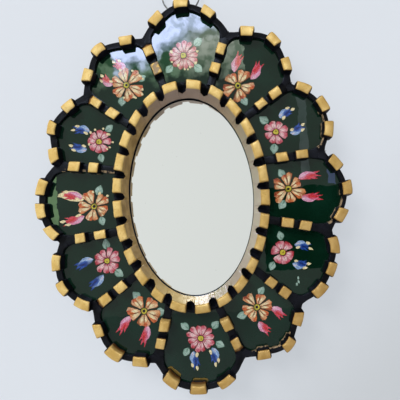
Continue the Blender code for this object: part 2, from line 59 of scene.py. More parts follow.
# Plan of the frame, as in the solids. An oval is a half width and a half height
RIM_OVAL = (124.4, 156.8)
JOINT_OVAL = (109.2, 135.5)
RING_OVAL = (60.2, 91.4)
OUTLINE_POWER = 1.86
JOINT_ANGLES = (75.8, 46.1, 15.7)
FOOT_ANGLES = (72.0, 41.0, 15.0)
BLOCK_WIDTH = 8.8
BLOCK_SHOULDER = 1.5
NECK_WIDTH = 6.4
LIP = 2.0
RIM_BLOCK_LENGTH = 13.2
RIM_BLOCK_PITCH = 22.2
DIVIDER_BLOCK_LENGTH = 10.6
DIVIDER_BLOCK_PITCH = 16.2
DIVIDER_BLOCK_SHIFT = 1.2
RING_BLOCK_LENGTH = 13.4
RING_BLOCKS = 25
WALL_INSET = 1.0
WALL_SPLAY = 2.6
COLLAR_THICKNESS = 5.0
MIRROR_LAP = 5.0
BOARD_MARGIN = 2.6
CLEARANCE = 0.3

# Heights above the wall. The silvering is where it seems to lie, seen through its glass
BOARD_BACK = 3.8
BOARD_FRONT = 15.8
REBATE_FLOOR = 7.4
SEAT = 16.1
PANE_FRONT = 18.1
LIP_UNDER = 18.4
NECK_TOP = 20.5
BLOCK_TOP = 27.4
MIRROR_BACK = 4.1
SILVER = 5.1

# Distances from a strip's middle line
STEP = NECK_WIDTH / 2 - LIP
RING_OUTER = BLOCK_WIDTH / 2
RING_STEP = RING_OUTER - LIP
WALL_TOP = WALL_INSET - BLOCK_WIDTH / 2
WALL_FOOT = -BLOCK_WIDTH / 2 - WALL_SPLAY
COLLAR_OUTER = WALL_FOOT + COLLAR_THICKNESS
OPENING_EDGE = COLLAR_OUTER + CLEARANCE
MIRROR_EDGE = OPENING_EDGE + MIRROR_LAP
PANE_EDGE = STEP + CLEARANCE
PANE_RING_EDGE = RING_STEP + CLEARANCE

# Hand work from the top petal on, against even places: how far a rim's blocks sit clockwise of its crown
# and spread, a divider's blocks sit outwards and spread, a joint sits outwards and clockwise, a foot
# clockwise and a crown outwards, how far a rim falls short of a circle, and how far its necks reach out
RIM_SLIDES = (1.0, 6.0, -1.0, 1.0, -0.5, -3.0, 2.5, 1.0, -2.5, -4.5, -3.0, 1.0)
RIM_SPREADS = (2.0, 1.5, -2.0, 0.5, -3.0, 0.5, 1.0, 0.5, -1.0, -2.5, 1.0, 2.5)
DIVIDER_SLIDES = (-0.5, 0.5, -2.0, -3.0, 0.0, 1.0, -0.5, 1.0, -2.0, 0.0, 1.0, 1.5)
DIVIDER_SPREADS = (0.0, -2.5, 0.0, -2.5, -3.0, 0.0, -2.0, 0.0, 0.0, 0.0, 0.0, 0.0)
HAND_JOINTS = (
    (2.5, 3.0), (1.0, 0.5), (0.0, 0.5), (2.5, 3.0), (2.0, 4.5), (1.5, -0.5),
    (3.0, 1.5), (1.0, 0.0), (1.0, -0.5), (2.0, 2.0), (0.5, 2.5), (0.5, 2.5))
HAND_FEET = (1.5, 0.0, -1.0, -2.0, 0.0, 2.5, 4.0, 1.0, -0.5, 1.5, 0.5, 3.0)
HAND_CROWNS = (0.5, 0.5, 0.0, 0.5, -2.5, -1.0, -1.5, -1.0, 0.0, -0.5, -0.5, -1.0)
RIM_PEAKS = (2.0, 2.0, 0.0, 0.5, -1.0, 2.5, -1.0, 1.5, 0.5, -0.5, 2.0, 3.0)
NECK_REACHES = (3.5, 3.0, 2.0, 2.0, 3.0, 3.0, 3.5, 3.5, 3.5, 4.0, 4.0, 3.5)
BLOCK_LENGTH_SPREAD = 0.1
BLOCK_WIDTH_SPREAD = 0.07
BLOCK_LIFTS = (-0.35, 0.14)
BLOCK_PLACE_SPREAD = 0.4
BLOCK_LEAN = 0.25
BLOCK_SKEW = 0.16  # slant of a block's ends across the strip
CARVE_DEPTH = 0.32  # unevenness of the carved faces
CARVE_SIZE = 6.0
CARVE_FADE = 1.5  # height above the lips' underside at which it is full
FINE_CARVING = (3.7, 0.35)  # how much smaller and shallower the finer part of it is
EDGE_ROUND = 1.3
NECK_ROUND = 0.7
NECK_INSIDE = 2.3  # reach of a rim's necks inwards, over the pane's edge
NECK_TILT = 0.9  # a rim's neck falls away to the outside
JOINT_FLARE = 1.4  # strips are wider where three of them meet
FLARE_LENGTH = 9.0
RIM_SLOPES = (0.3, 1.0)  # how far a block's outer and inner side lean in
DIVIDER_SLOPES = (0.7, 0.7)
RING_SLOPE = 0.9
CROWN_BOWS = (0.1, 0.2)  # rise of a neck's and a block's top
RING_BOW = 0.12
GILT_EDGE = (1.5, 0.7)  # how far below a block's top the gold starts and is full
# Where the gold of a block's top ends is partly the extent of the gilding and partly painted shade on its
# sloping ends
GILT_FULLNESS = (0.5, 0.75)  # of a block where the gold of its top starts and is full
END_GILT_FULLNESS = (0.02, 0.1)
SIDE_GILT_FOOT = LIP_UNDER - 2.0  # where the gold of a gilded side starts
SIDE_RISE = 0.2  # share of a strip's side at which its foot gives way to its slope
CROWN_STEPS = (0.3, 0.6)
STRIP_EDGE_STEPS = 4
WEAR_TOP = NECK_TOP + 2.0
WEAR_EDGE = -1.0  # offset from a strip's middle line inside of which it is worn
MITRE_OVERLAP = 0.1


# Plan geometry

def mix(first, second, share):
    return first + (second - first) * share


def ease(low, high, value):
    """Smooth step from 0 at low to 1 at high."""
    share = min(1.0, max(0.0, (value - low) / (high - low)))
    return share * share * (3 - 2 * share)


def shares(steps):
    """Even steps from 0 to 1."""
    return [step / steps for step in range(steps + 1)]


def full_turn(steps):
    return [math.tau * share for share in shares(steps)[:-1]]


def around(angle, reach=1.0):
    """Point at an angle and a distance from the middle."""
    return Vector((reach * math.cos(angle), reach * math.sin(angle)))


def clockwise_of(way):
    return Vector((way.y, -way.x))


def stand(x, y, z):
    """Place on the wall of a point of the plan."""
    return Vector((x, -z, y)) * MM


def superellipse(oval, angle):
    """Point of the frame's outline at a polar angle."""
    powers = [abs(part / half) ** OUTLINE_POWER for part, half in zip(around(angle), oval)]
    return around(angle, sum(powers) ** (-1 / OUTLINE_POWER))


def ring_oval(offset):
    """The ring's ellipse, moved outwards by an offset."""
    return Vector([half + offset for half in RING_OVAL])


def ring_point(angle, offset=0.0):
    return around(angle) * ring_oval(offset)


def oval_angle(point, oval):
    """Angle of an ellipse in the direction of a point."""
    return math.atan2(point.y / oval[1], point.x / oval[0])


def all_round(quarter):
    """Twelve angles, clockwise from the top, that mirror the three of one quarter."""
    half = [*quarter, *(-angle for angle in reversed(quarter))]
    return [math.radians(angle - turn) for turn in (0, 180) for angle in half]


def line_meets_oval(start, heading, oval, centre=Vector((0, 0))):
    """The two distances along a line at which it crosses an ellipse."""
    scale = Vector((1 / oval[0], 1 / oval[1]))
    offset = (start - centre) * scale
    slope = heading * scale
    a = slope.dot(slope)
    b = offset.dot(slope)
    root = math.sqrt(b * b - a * (offset.dot(offset) - 1))
    return (-b - root) / a, (-b + root) / a


def circle_through(first, middle, last):
    """Centre of the circle through three points."""
    side = middle - first
    chord = last - first
    bisector = clockwise_of(chord * side.length_squared - side * chord.length_squared)
    return first + bisector / (2 * side.cross(chord))


class Arc:
    """Middle line of a rim: a circle through two joints and the crown, less its peak between them.

    Distances run clockwise from the crown.
    """

    def __init__(self, first, crown, last, peak):
        self.centre = circle_through(first, crown, last)
        self.radius = (crown - self.centre).length
        self.outward = (crown - self.centre).normalized()
        self.clockwise = clockwise_of(self.outward)
        self.peak = peak
        self.ends = (self.place(first), self.place(last))

    def place(self, point):
        """Distance at which the line passes a point."""
        offset = point - self.centre
        return self.radius * math.atan2(offset.dot(self.clockwise), offset.dot(self.outward))

    def direction(self, distance):
        """Way from the centre to a point of the line."""
        out, aside = around(distance / self.radius)
        return out * self.outward + aside * self.clockwise

    def point(self, distance, offset=0.0):
        share = min(1.0, distance / self.ends[distance > 0])
        short = self.peak * math.sin(math.pi * share) ** 2
        return self.centre + (self.radius + offset - short) * self.direction(distance)

    def meets(self, cut, offset):
        """Distance at which the line at an offset crosses a cut."""
        start, heading = cut
        near = min(line_meets_oval(start, heading, [self.radius + offset] * 2, self.centre), key=abs)
        return self.place(start + near * heading)


class Bar:
    """Middle line of a divider, from its foot on the ring to the joint of two rims."""

    def __init__(self, foot, joint):
        self.foot = foot
        self.length = (joint - foot).length
        self.outward = (joint - foot).normalized()
        self.clockwise = clockwise_of(self.outward)

    def point(self, distance, offset=0.0):
        return self.foot + distance * self.outward + offset * self.clockwise

    def meets(self, cut, offset):
        start, heading = cut
        return (start - self.point(0.0, offset)).cross(heading) / self.outward.cross(heading)

    def meets_ring(self, ring_offset, offset):
        """Distance at which the line at an offset crosses an ellipse round the ring."""
        return min(line_meets_oval(self.point(0.0, offset), self.outward, ring_oval(ring_offset)), key=abs)


BEFORE, AFTER, DIVIDER = range(3)  # the rims and the divider that leave a joint


class Plan:
    """Joints, arcs and bars of the petals, with the hand work in full or, in an even plan, not at all.

    Petal 0 is at the top, and joint n follows petal n.
    """

    def __init__(self, hand=1.0):
        angles = all_round(JOINT_ANGLES)
        self.bars = []
        for angle, foot_angle, aside, (outwards, clockwise) in zip(
                angles, all_round(FOOT_ANGLES), HAND_FEET, HAND_JOINTS):
            foot = ring_point(foot_angle, RING_OUTER)
            joint = superellipse(JOINT_OVAL, angle)
            even = Bar(foot, joint)
            shift = outwards * even.outward + clockwise * even.clockwise
            self.bars.append(Bar(foot + hand * aside * even.clockwise, joint + hand * shift))
        self.joints = [bar.point(bar.length) for bar in self.bars]
        self.arcs = []
        for petal, angle in enumerate(angles):
            middle = around(angles[petal - 1]) + around(angle)
            crown = superellipse(RIM_OVAL, math.atan2(middle.y, middle.x))
            crown += crown.normalized() * hand * HAND_CROWNS[petal]
            peak = hand * RIM_PEAKS[petal]
            self.arcs.append(Arc(self.joints[petal - 1], crown, self.joints[petal], peak))

    def cut(self, number, own, other, gap=-MITRE_OVERLAP):
        """Mitre between two strips at a joint, as a start and a heading, on the first one's side."""
        joint = self.joints[number]
        before, after = (
            clockwise_of(arc.direction(arc.place(joint)))
            for arc in (self.arcs[number], self.arcs[(number + 1) % len(self.arcs)]))
        ways = (-before, after, -self.bars[number].outward)
        heading = (ways[own] + ways[other]).normalized()
        side = (ways[own] - ways[own].project(heading)).normalized()
        return joint + side * gap / 2, heading

    def rim_cuts(self, petal, *gap):
        """Outer and inner cut at the first and at the last end of a petal's rim."""
        return [(self.cut(number, own, other, *gap), self.cut(number, own, DIVIDER, *gap))
                for number, own, other in ((petal - 1, AFTER, BEFORE), (petal, BEFORE, AFTER))]


RING_STEPS = 720


class RingLine:
    """Middle line of the ring, measured clockwise from the top."""

    def __init__(self):
        self.angles = [math.pi / 2 - math.tau * share for share in shares(RING_STEPS)]
        points = [ring_point(angle) for angle in self.angles]
        sides = [(after - point).length for point, after in itertools.pairwise(points)]
        self.distances = [0.0, *itertools.accumulate(sides)]
        self.length = self.distances[-1]

    def angle_at(self, distance):
        """Angle of the ring's ellipse at a distance along it."""
        distance %= self.length
        index = bisect.bisect_right(self.distances, distance, hi=RING_STEPS) - 1
        start, end = self.distances[index:index + 2]
        return mix(*self.angles[index:index + 2], (distance - start) / (end - start))


# Node materials

def linear(colour):
    """Linear colour of an 8-bit screen colour."""
    return tuple(((c / 255 + 0.055) / 1.055) ** 2.4 if c > 10 else c / 3295 for c in colour)


class Look:
    """Nodes of a material or of the world, with short calls to add and link them."""

    def __init__(self, name, surface=None, kind="materials", place="Object"):
        self.owner = getattr(bpy.data, kind).new(name)
        self.owner.use_nodes = True
        self.tree = self.owner.node_tree
        self.place = self.add("TexCoord", output=place)
        if surface:
            self.fill("Principled BSDF", surface)

    def fill(self, name, inputs):
        """Set inputs of a node to values, or link outputs to them, and return the owner of the nodes."""
        for key, value in inputs.items():
            socket = self.tree.nodes[name].inputs[key]
            if isinstance(value, bpy.types.NodeSocket):
                self.tree.links.new(value, socket)
            else:
                socket.default_value = (*value, 1.0) if socket.type == 'RGBA' else value
        return self.owner

    def add(self, kind, inputs=None, output=0, **settings):
        """One output of a new node."""
        node = self.tree.nodes.new("ShaderNode" + kind)
        for name, value in settings.items():
            setattr(node, name, value)
        self.fill(node.name, inputs or {})
        return node.outputs[output]

    def axes(self):
        return self.add("SeparateXYZ", {"Vector": self.place}).node.outputs

    def noise(self, size, detail=3.0, upright=1.0):
        """Noise from 0 to 1 with features of about a size, drawn out upwards where upright is small."""
        place = self.add("Mapping", {"Vector": self.place, "Scale": (1, 1, upright)})
        return self.add("TexNoise", {"Vector": place, "Scale": 1 / (size * MM), "Detail": detail})

    def mark(self, name, output="Fac"):
        """Value that the mesh carries."""
        return self.add("Attribute", output=output, attribute_name=name)

    def math(self, operation, *values):
        return self.add("Math", dict(enumerate(values)), operation=operation)

    def times(self, first, second):
        return self.math('MULTIPLY', first, second)

    def plus(self, first, second, times):
        """Sum of a value and a multiple of another."""
        return self.math('MULTIPLY_ADD', second, times, first)

    def fade(self, value, low, high, to_low=0.0, to_high=1.0):
        """Map a range smoothly and clamp it."""
        limits = {"From Min": low, "From Max": high, "To Min": to_low, "To Max": to_high}
        return self.add("MapRange", {"Value": value, **limits}, interpolation_type='SMOOTHSTEP')

    def between(self, share, first, second):
        """Colour between two linear colours."""
        return self.add("Mix", {"Factor": share, 6: first, 7: second}, 2, data_type='RGBA')

    def blend(self, share, *colours):
        """Colour between two outputs or screen colours."""
        return self.between(share, *(linear(c) if isinstance(c, tuple) else c for c in colours))

    def mottle(self, value, dark, light, low=0.3, high=0.7):
        """Colour between two that follows a noise."""
        return self.blend(self.fade(value, low, high), dark, light)

    def finish(self, surface, height=None, depth=0.0):
        """Link what varies to the surface, with bumps of a depth, and return the material."""
        if height is not None:
            surface["Normal"] = self.add("Bump", {"Height": height, "Strength": 1.0, "Distance": depth * MM})
        return self.fill("Principled BSDF", surface)

    def clear(self, share, shown):
        """Make a share of what is shown clear, and return the material."""
        mixed = self.add("MixShader", {0: share, 1: shown, 2: self.add("BsdfTransparent")})
        return self.fill("Material Output", {"Surface": mixed})


def carved_material():
    """Black paint, gold leaf where it is gilt, bronzed on the ring's wall, and wood where it is worn, with
    painted shade on the gold towards the lower right and where its gilding thins, and painted shade,
    highlight and reflection on the wall's bronze.
    """
    look = Look("carved_black_and_gilt", {"Specular IOR Level": 0.1})
    x, _, z = look.axes()
    grain = look.noise(1.1, 4.0)
    cloud = look.noise(9.0, 2.0)
    gilt = look.mark("gilt")
    wall = look.mark("wall")
    # Measure towards the lower right, for the painted shade of the gold and for its metallic sheen
    away = look.plus(x, z, -0.75)
    across = look.plus(x, z, -0.25)
    kept = look.fade(look.times(look.mark("wear"), look.noise(3.0)), 0.46, 0.54, 1.0, 0.0)
    gold = look.math('MINIMUM', kept, look.fade(look.plus(gilt, grain, 0.5), 0.61, 0.71))
    wood = look.blend(grain, (110, 82, 56), (196, 172, 138))
    paint = look.blend(kept, wood, look.mottle(cloud, (8, 8, 12), (21, 22, 30)))
    leaf = look.mottle(cloud, (212, 174, 98), (234, 202, 130))
    leaf = look.blend(look.fade(grain, 0.55, 0.8), leaf, (180, 136, 70))
    # Painted shade: the gold leaf turns darker towards the lower right, as if lit from the upper left
    dull = look.mottle(cloud, (152, 114, 60), (176, 136, 80))
    leaf = look.blend(look.fade(away, -0.13, 0.3), leaf, dull)
    bronze = look.mottle(cloud, (152, 118, 62), (190, 154, 90))
    # Painted light on the ring's wall: painted shade at its top, a painted highlight at its bottom, and a
    # painted reflection of the pale room towards its right
    for value, low, high, tint in (
            (z, 0.05, 0.09, (158, 134, 118)), (z, -0.05, -0.09, (222, 190, 120)),
            (across, -0.01, 0.05, (160, 140, 124)), (across, 0.04, 0.07, (186, 168, 154))):
        bronze = look.blend(look.fade(value, low, high), bronze, tint)
    leaf = look.blend(wall, leaf, bronze)
    # Painted shade: the gold turns brown where its gilding thins out, round the edges and ends of a block's
    # top
    leaf = look.blend(look.fade(gilt, 0.55, 0.97), (118, 78, 34), leaf)
    sheen = look.math('MAXIMUM', look.fade(away, -0.12, 0.1, 0.06, 0.34), look.times(wall, 0.4))
    surface = {"Base Color": look.blend(gold, paint, leaf), "Metallic": look.times(gold, sheen),
               "Roughness": look.fade(gold, 0.0, 1.0, 0.36, 0.42)}
    return look.finish(surface, grain, 0.12)


def glass_material():
    """Dark green painted glass."""
    look = Look("green_glass", {"Specular IOR Level": 0.35})
    cloud = look.noise(26.0)
    green = look.mottle(cloud, (5, 30, 18), (10, 40, 28), 0.3, 0.75)
    green = look.blend(look.fade(look.noise(1.4, 2.0), 0.74, 0.8), green, (40, 66, 54))
    roughness = look.fade(cloud, 0.2, 0.8, 0.0, 0.012)
    return look.finish({"Base Color": green, "Roughness": roughness}, look.noise(14.0, 2.0), 0.04)


def paint_material():
    """Painted strokes under the same gloss, with the streaks of the brush."""
    look = Look("flower_paint", {"Specular IOR Level": 0.35})
    colour = look.mark("paint", "Color")
    streak = look.noise(0.5)
    tones = [look.add("HueSaturation", {"Color": colour, "Value": value, "Saturation": saturation})
             for value, saturation in ((0.62, 1.1), (1.12, 0.95))]
    roughness = look.fade(streak, 0.2, 0.8, 0.05, 0.12)
    return look.finish({"Base Color": look.mottle(streak, *tones, 0.35, 0.65), "Roughness": roughness})


def mirror_material():
    """Silvered glass with a faint film and a few specks."""
    look = Look("mirror_silver", {"Metallic": 1.0})
    silver = look.mottle(look.noise(1.6, 2.0), (250, 252, 251), (208, 210, 206), 0.75, 0.8)
    film = look.fade(look.noise(30.0, 4.0), 0.35, 0.75, 0.0, 0.03)
    return look.finish({"Base Color": silver, "Roughness": film})


def wood_material(name, dark, light, grain_size, stained=False):
    """Bare wood with upright grain, and black paint where the edge mark says."""
    look = Look(name, {"Specular IOR Level": 0.1})
    grain = look.noise(grain_size, 4.0, 0.06)
    fibre = look.noise(0.6, 3.0, 0.03)
    colour = look.blend(look.fade(fibre, 0.55, 0.75, 0.0, 0.5), look.mottle(grain, dark, light), dark)
    roughness = look.fade(fibre, 0.2, 0.8, 0.62, 0.8)
    if stained:
        painted = look.fade(look.plus(look.mark("edge"), grain, 0.6), 0.7, 0.85)
        colour = look.blend(painted, colour, (16, 15, 18))
        roughness = look.fade(painted, 0.0, 1.0, 0.72, 0.42)
    return look.finish({"Base Color": colour, "Roughness": roughness}, fibre, 0.15)


def metal_material(name, dark, light, rough):
    """Metal with fine scratches and dull patches."""
    look = Look(name, {"Metallic": 1.0})
    patch = look.noise(4.0)
    colour = look.mottle(patch, dark, light, 0.35, 0.65)
    roughness = look.fade(patch, 0.2, 0.8, rough, rough + 0.18)
    return look.finish({"Base Color": colour, "Roughness": roughness}, look.noise(0.4, 2.0, 0.15), 0.03)


# Meshes

SMOOTH_TO = math.radians(35)


def placed(name, data):
    obj = bpy.data.objects.new(name, data)
    bpy.context.scene.collection.objects.link(obj)
    return obj


def new_object(name, bm, material, smooth=True):
    bmesh.ops.recalc_face_normals(bm, faces=bm.faces)
    mesh = bpy.data.meshes.new(name)
    bm.to_mesh(mesh)
    bm.free()
    if smooth:
        mesh.shade_smooth()
        mesh.set_sharp_from_angle(angle=SMOOTH_TO)
    mesh.materials.append(material)
    return placed(name, mesh)


def skin(bm, rows, closed_rows, closed):
    """Faces between rows of vertices, with each row, and all of them, closed into a loop or not."""
    for row, following in zip(rows, rows[1:] + rows[:closed]):
        for n in range(len(row) - 1 + closed_rows):
            after = (n + 1) % len(row)
            bm.faces.new((row[n], row[after], following[after], following[n]))


def loft(name, sections, material, marks=(), caps=()):
    """Skin over sections of (x, y, z, mark values), closed into a loop unless it has caps."""
    bm = bmesh.new()
    layers = [bm.verts.layers.float.new(mark) for mark in marks]
    rows = []
    for section in sections:
        rows.append([])
        for x, y, z, *values in section:
            vertex = bm.verts.new(stand(x, y, z))
            rows[-1].append(vertex)
            for layer, value in zip(layers, values):
                vertex[layer] = value
    skin(bm, rows, True, not caps)
    for row in (rows[0], rows[-1]):
        for cap in caps:
            bm.faces.new([row[index] for index in cap])
    return new_object(name, bm, material)


def make_plate(name, outline, heights, bevels, material):
    """Flat piece from its outline by inset, with a bevel of (inwards, upright) at its back and front."""
    back, front = heights
    (back_in, back_up), (front_in, front_up) = bevels
    levels = ((back_in, back), (0.0, back + back_up), (0.0, front - front_up), (front_in, front))
    bm = bmesh.new()
    rows = [[bm.verts.new(stand(*point, height)) for point in outline(inset)] for inset, height in levels]
    skin(bm, rows, True, False)
    bm.faces.new(rows[0])
    bm.faces.new(rows[-1])
    return new_object(name, bm, material, smooth=False)


def uneven(x, y, z):
    """Point moved a little, as a hand tool leaves a face. What rests on the board or a pane stays."""
    point = Vector((x, y, z))
    place = point / CARVE_SIZE
    finer, shallower = FINE_CARVING
    shift = (noise.noise_vector(place) + noise.noise_vector(place * finer) * shallower) * CARVE_DEPTH
    return point + shift * ease(LIP_UNDER, LIP_UNDER + CARVE_FADE, z)


# Carved strips

BLOCK_STEPS = (-0.15, 0.0, 0.05, 0.18, 0.4, 0.7, 1.0, 1.5)
CARVED_MARKS = ("gilt", "wear", "wall")
LONGEST_STEP = 2.0
RIM_SEED = 100
DIVIDER_SEED = 200
RING_SEED = 300
WORN_RIMS = {3: (0.5, 1.0), 4: (0.5, 0.95), 6: (0.35, 0.9)}  # petals, and the worn share of their rims
RIM_WEAR = 1.06
WORN_DIVIDERS = (10,)
GILDED_SIDES = {7: (1, 2), 8: (1,)}  # petals whose blocks, by place, have gilded inner sides
GILDED_ENDS = (6, 7)  # dividers whose inner block has gilded ends
CHIPPED_ENDS = (12,)  # dividers whose inner block has lost some leaf


class Block:
    """One carved block: its middle along the strip, its length, and how it departs from the others."""

    def __init__(self, hand, middle, length):
        self.middle = middle + hand.uniform(-1, 1) * BLOCK_PLACE_SPREAD
        self.length = length * (1 + hand.uniform(-1, 1) * BLOCK_LENGTH_SPREAD)
        self.width = 1 + hand.uniform(-1, 1) * BLOCK_WIDTH_SPREAD
        self.top = BLOCK_TOP + hand.uniform(*BLOCK_LIFTS)
        self.lean = hand.uniform(-1, 1) * BLOCK_LEAN
        self.skew = hand.uniform(-1, 1) * BLOCK_SKEW
        self.gilded_side = False
        self.gilded_end = False
        self.chipped = False

    def stations(self):
        """Distances along the strip at which the block's shape changes."""
        half = self.length / 2
        steps = [half - share * BLOCK_SHOULDER for share in BLOCK_STEPS] + [half / 3]
        return [self.middle + way * step for way in (-1, 1) for step in steps]

    def fullness(self, distance):
        """1 on the block, 0 on the neck, with a steep and rounded end between them."""
        share = (self.length / 2 - abs(distance - self.middle)) / BLOCK_SHOULDER
        return math.sqrt(1 - (1 - min(1.0, max(0.0, share))) ** 2)


def filled(stations):
    """Sorted distances with none further apart than the longest step."""
    stations = sorted(stations)
    result = stations[:1]
    for start, end in itertools.pairwise(stations):
        parts = max(1, math.ceil((end - start) / LONGEST_STEP))
        result += [mix(start, end, share) for share in shares(parts)[1:]]
    return result


def corner(reach, top, radius, steps):
    """Rounded upper edge of a section, from its side to its top."""
    turns = [math.pi / 2 * share for share in shares(steps)]
    return [(reach - radius * (1 - math.cos(turn)), top - radius * (1 - math.sin(turn))) for turn in turns]


def half_crown(reach, top, radius, bow):
    """Upper part of a strip's section on one side: a rounded edge and a slightly bowed top."""
    bowed = [((reach - radius) * share, top + bow * (1 - share * share)) for share in reversed(CROWN_STEPS)]
    return corner(reach, top, radius, STRIP_EDGE_STEPS) + bowed


def strip_profile(block, fullness, outer_lip, joint, worn, neck_reach=NECK_WIDTH / 2):
    """Section of a rim or divider as (offset, height, gilt, wear, wall), with lips on one or both sides.

    It widens towards a joint, where joint is 1, and its neck has a reach of its own to the outside.
    """
    inside, foot, neck_tilt, slopes = (
        (NECK_WIDTH / 2, LIP_UNDER, 0.0, DIVIDER_SLOPES) if outer_lip else
        (NECK_INSIDE, SEAT, -NECK_TILT, RIM_SLOPES))
    flared = NECK_WIDTH / 2 + JOINT_FLARE
    right, left = (mix(mix(reach, flared, joint), BLOCK_WIDTH / 2 * block.width, fullness)
                   for reach in (neck_reach, inside))
    top = mix(NECK_TOP, block.top, fullness)
    radius = mix(NECK_ROUND, EDGE_ROUND, fullness)
    bow = mix(*CROWN_BOWS, fullness)
    outer, inner = (half_crown(reach - slope * fullness, top, radius, bow)
                    for reach, slope in zip((right, left), slopes))
    points = [
        (right, foot), (right, mix(foot, top - radius, SIDE_RISE)), *outer, (0.0, top + bow),
        *((-offset, height) for offset, height in reversed(inner)),
        (-left, mix(LIP_UNDER, top - radius, SIDE_RISE)), (-left, LIP_UNDER), (-STEP, LIP_UNDER),
        (-STEP, SEAT), (0.0, SEAT), *([(STEP, SEAT), (STEP, LIP_UNDER)] if outer_lip else [])]
    tilt = mix(neck_tilt, block.lean, fullness)
    section = []
    for offset, height in points:
        on_top = ease(block.top - GILT_EDGE[0], block.top - GILT_EDGE[1], height)
        on_side = block.gilded_side and offset < 0 and ease(SIDE_GILT_FOOT, top - radius, height)
        on_end = block.gilded_end and height > NECK_TOP
        gilt = max(max(on_top, on_side) * ease(*GILT_FULLNESS, fullness),
                   on_end * ease(*END_GILT_FULLNESS, fullness))
        wear = worn * ease(WEAR_TOP, NECK_TOP, height) if offset < WEAR_EDGE else 0.0
        raised = ease(LIP_UNDER, NECK_TOP - NECK_ROUND, height) * tilt * offset / right
        section.append((offset, height + raised, gilt, on_top if block.chipped else wear, 0.0))
    return section


def end_faces(profile):
    """The two halves of a strip's end, either side of its middle line, as indices."""
    first, last = [index for index, point in enumerate(profile) if point[0] == 0.0]
    return range(first, last + 1), [*range(last, len(profile)), *range(first + 1)]


def mitred(line, right, left):
    """Where a strip's lines end, by offset: at one cut on each side, and short of both in the middle."""
    def place(offset):
        cuts = [right] * (offset >= 0) + [left] * (offset <= 0)
        return min((line.meets(cut, offset) for cut in cuts), key=abs)
    return place


def make_strip(name, line, blocks, span, ends, profile, material):
    """Carved strip over a span of a line, with ends of (distance, place by offset)."""
    def section(distance, place):
        block = min(blocks, key=lambda block: abs(distance - block.middle))
        fullness = block.fullness(distance)
        slant = block.skew * fullness
        return [(*uneven(*line.point(place(offset) + slant * offset, offset), height), *marks)
                for offset, height, *marks in profile(block, fullness, distance)]

    low, high = span
    stations = [station for block in blocks for station in block.stations() if low < station < high]
    sections = [section(station, lambda offset: station) for station in filled([low, *stations, high])]
    first, last = (section(*end) for end in ends)
    caps = end_faces(profile(blocks[0], 0.0, low))
    return loft(name, [first, *sections, last], material, CARVED_MARKS, caps)


def make_rim(plan, petal, material):
    """Carved rim of one petal."""
    hand = random.Random(RIM_SEED + petal)
    arc = plan.arcs[petal]
    start, end = arc.ends
    pitch = RIM_BLOCK_PITCH + RIM_SPREADS[petal]
    blocks = [Block(hand, RIM_SLIDES[petal] + place * pitch, RIM_BLOCK_LENGTH) for place in (-1, 0, 1)]
    for place in GILDED_SIDES.get(petal + 1, ()):
        blocks[place].gilded_side = True
    worn = WORN_RIMS.get(petal + 1, (0.0, 0.0))

    def profile(block, fullness, distance):
        joint = ease(FLARE_LENGTH, 0.0, min(distance - start, end - distance))
        wear = RIM_WEAR if worn[0] < (distance - start) / (end - start) < worn[1] else 0.0
        return strip_profile(block, fullness, False, joint, wear, NECK_REACHES[petal])

    ends = [(distance, mitred(arc, *cuts)) for distance, cuts in zip(arc.ends, plan.rim_cuts(petal))]
    span = (start + NECK_WIDTH / 2, end - NECK_WIDTH / 2)
    return make_strip(f"carved_rim_{petal + 1:02d}", arc, blocks, span, ends, profile, material)


def make_divider(plan, petal, material):
    """Carved divider after one petal."""
    hand = random.Random(DIVIDER_SEED + petal)
    bar = plan.bars[petal]
    middle = bar.length / 2 + DIVIDER_BLOCK_SHIFT + DIVIDER_SLIDES[petal]
    half_pitch = (DIVIDER_BLOCK_PITCH + DIVIDER_SPREADS[petal]) / 2
    blocks = [Block(hand, middle + side * half_pitch, DIVIDER_BLOCK_LENGTH) for side in (-1, 1)]
    blocks[0].gilded_end = petal + 1 in GILDED_ENDS
    blocks[0].chipped = petal + 1 in CHIPPED_ENDS
    wear = 1.0 if petal + 1 in WORN_DIVIDERS else 0.0

    def profile(block, fullness, distance):
        return strip_profile(block, fullness, True, ease(FLARE_LENGTH, 0.0, bar.length - distance), wear)

    def foot(offset):
        return bar.meets_ring(RING_OUTER - MITRE_OVERLAP, offset)

    cuts = [plan.cut(petal, DIVIDER, rim) for rim in (AFTER, BEFORE)]
    ends = ((0.0, foot), (bar.length, mitred(bar, *cuts)))
    span = (NECK_WIDTH / 2, bar.length - NECK_WIDTH)
    return make_strip(f"carved_divider_{petal + 1:02d}", bar, blocks, span, ends, profile, material)


RING_NOTCH_DROP = 8.4  # from a block's inner edge to the point of a notch in the ring's wall
NOTCH_POINT = 0.75  # share of that drop that a notch gains towards its point
NOTCH_FLOOR_FALL = 2.4
RING_EDGE_STEPS = 3
INNER_EDGE_STEPS = (0.0, 0.35, 0.7, 1.0)
RING_SIDE_GILT = 0.3
RING_TURNS = (-2.0, 0.0, -4.5, -2.0, -2.0)  # of blocks clockwise of their even places, by quarters
FOOT_ASIDE = Vector((-1.0, 0.5))  # of the wall's foot from its even place
NOTCH_STEPS = (0.08, 0.25, 0.5, 0.75, 0.92)
# The wall's last steps, where it meets the mirror, are left black as painted shade
WALL_STEPS = ((0.04, 1.0), (0.3, 1.0), (0.6, 1.0), (0.93, 1.0), (0.95, 0.0), (1.0, 0.0))  # share, gilt


def wall_share(height):
    """Share of the way down the ring's wall."""
    return (BLOCK_TOP - height) / (BLOCK_TOP - REBATE_FLOOR)


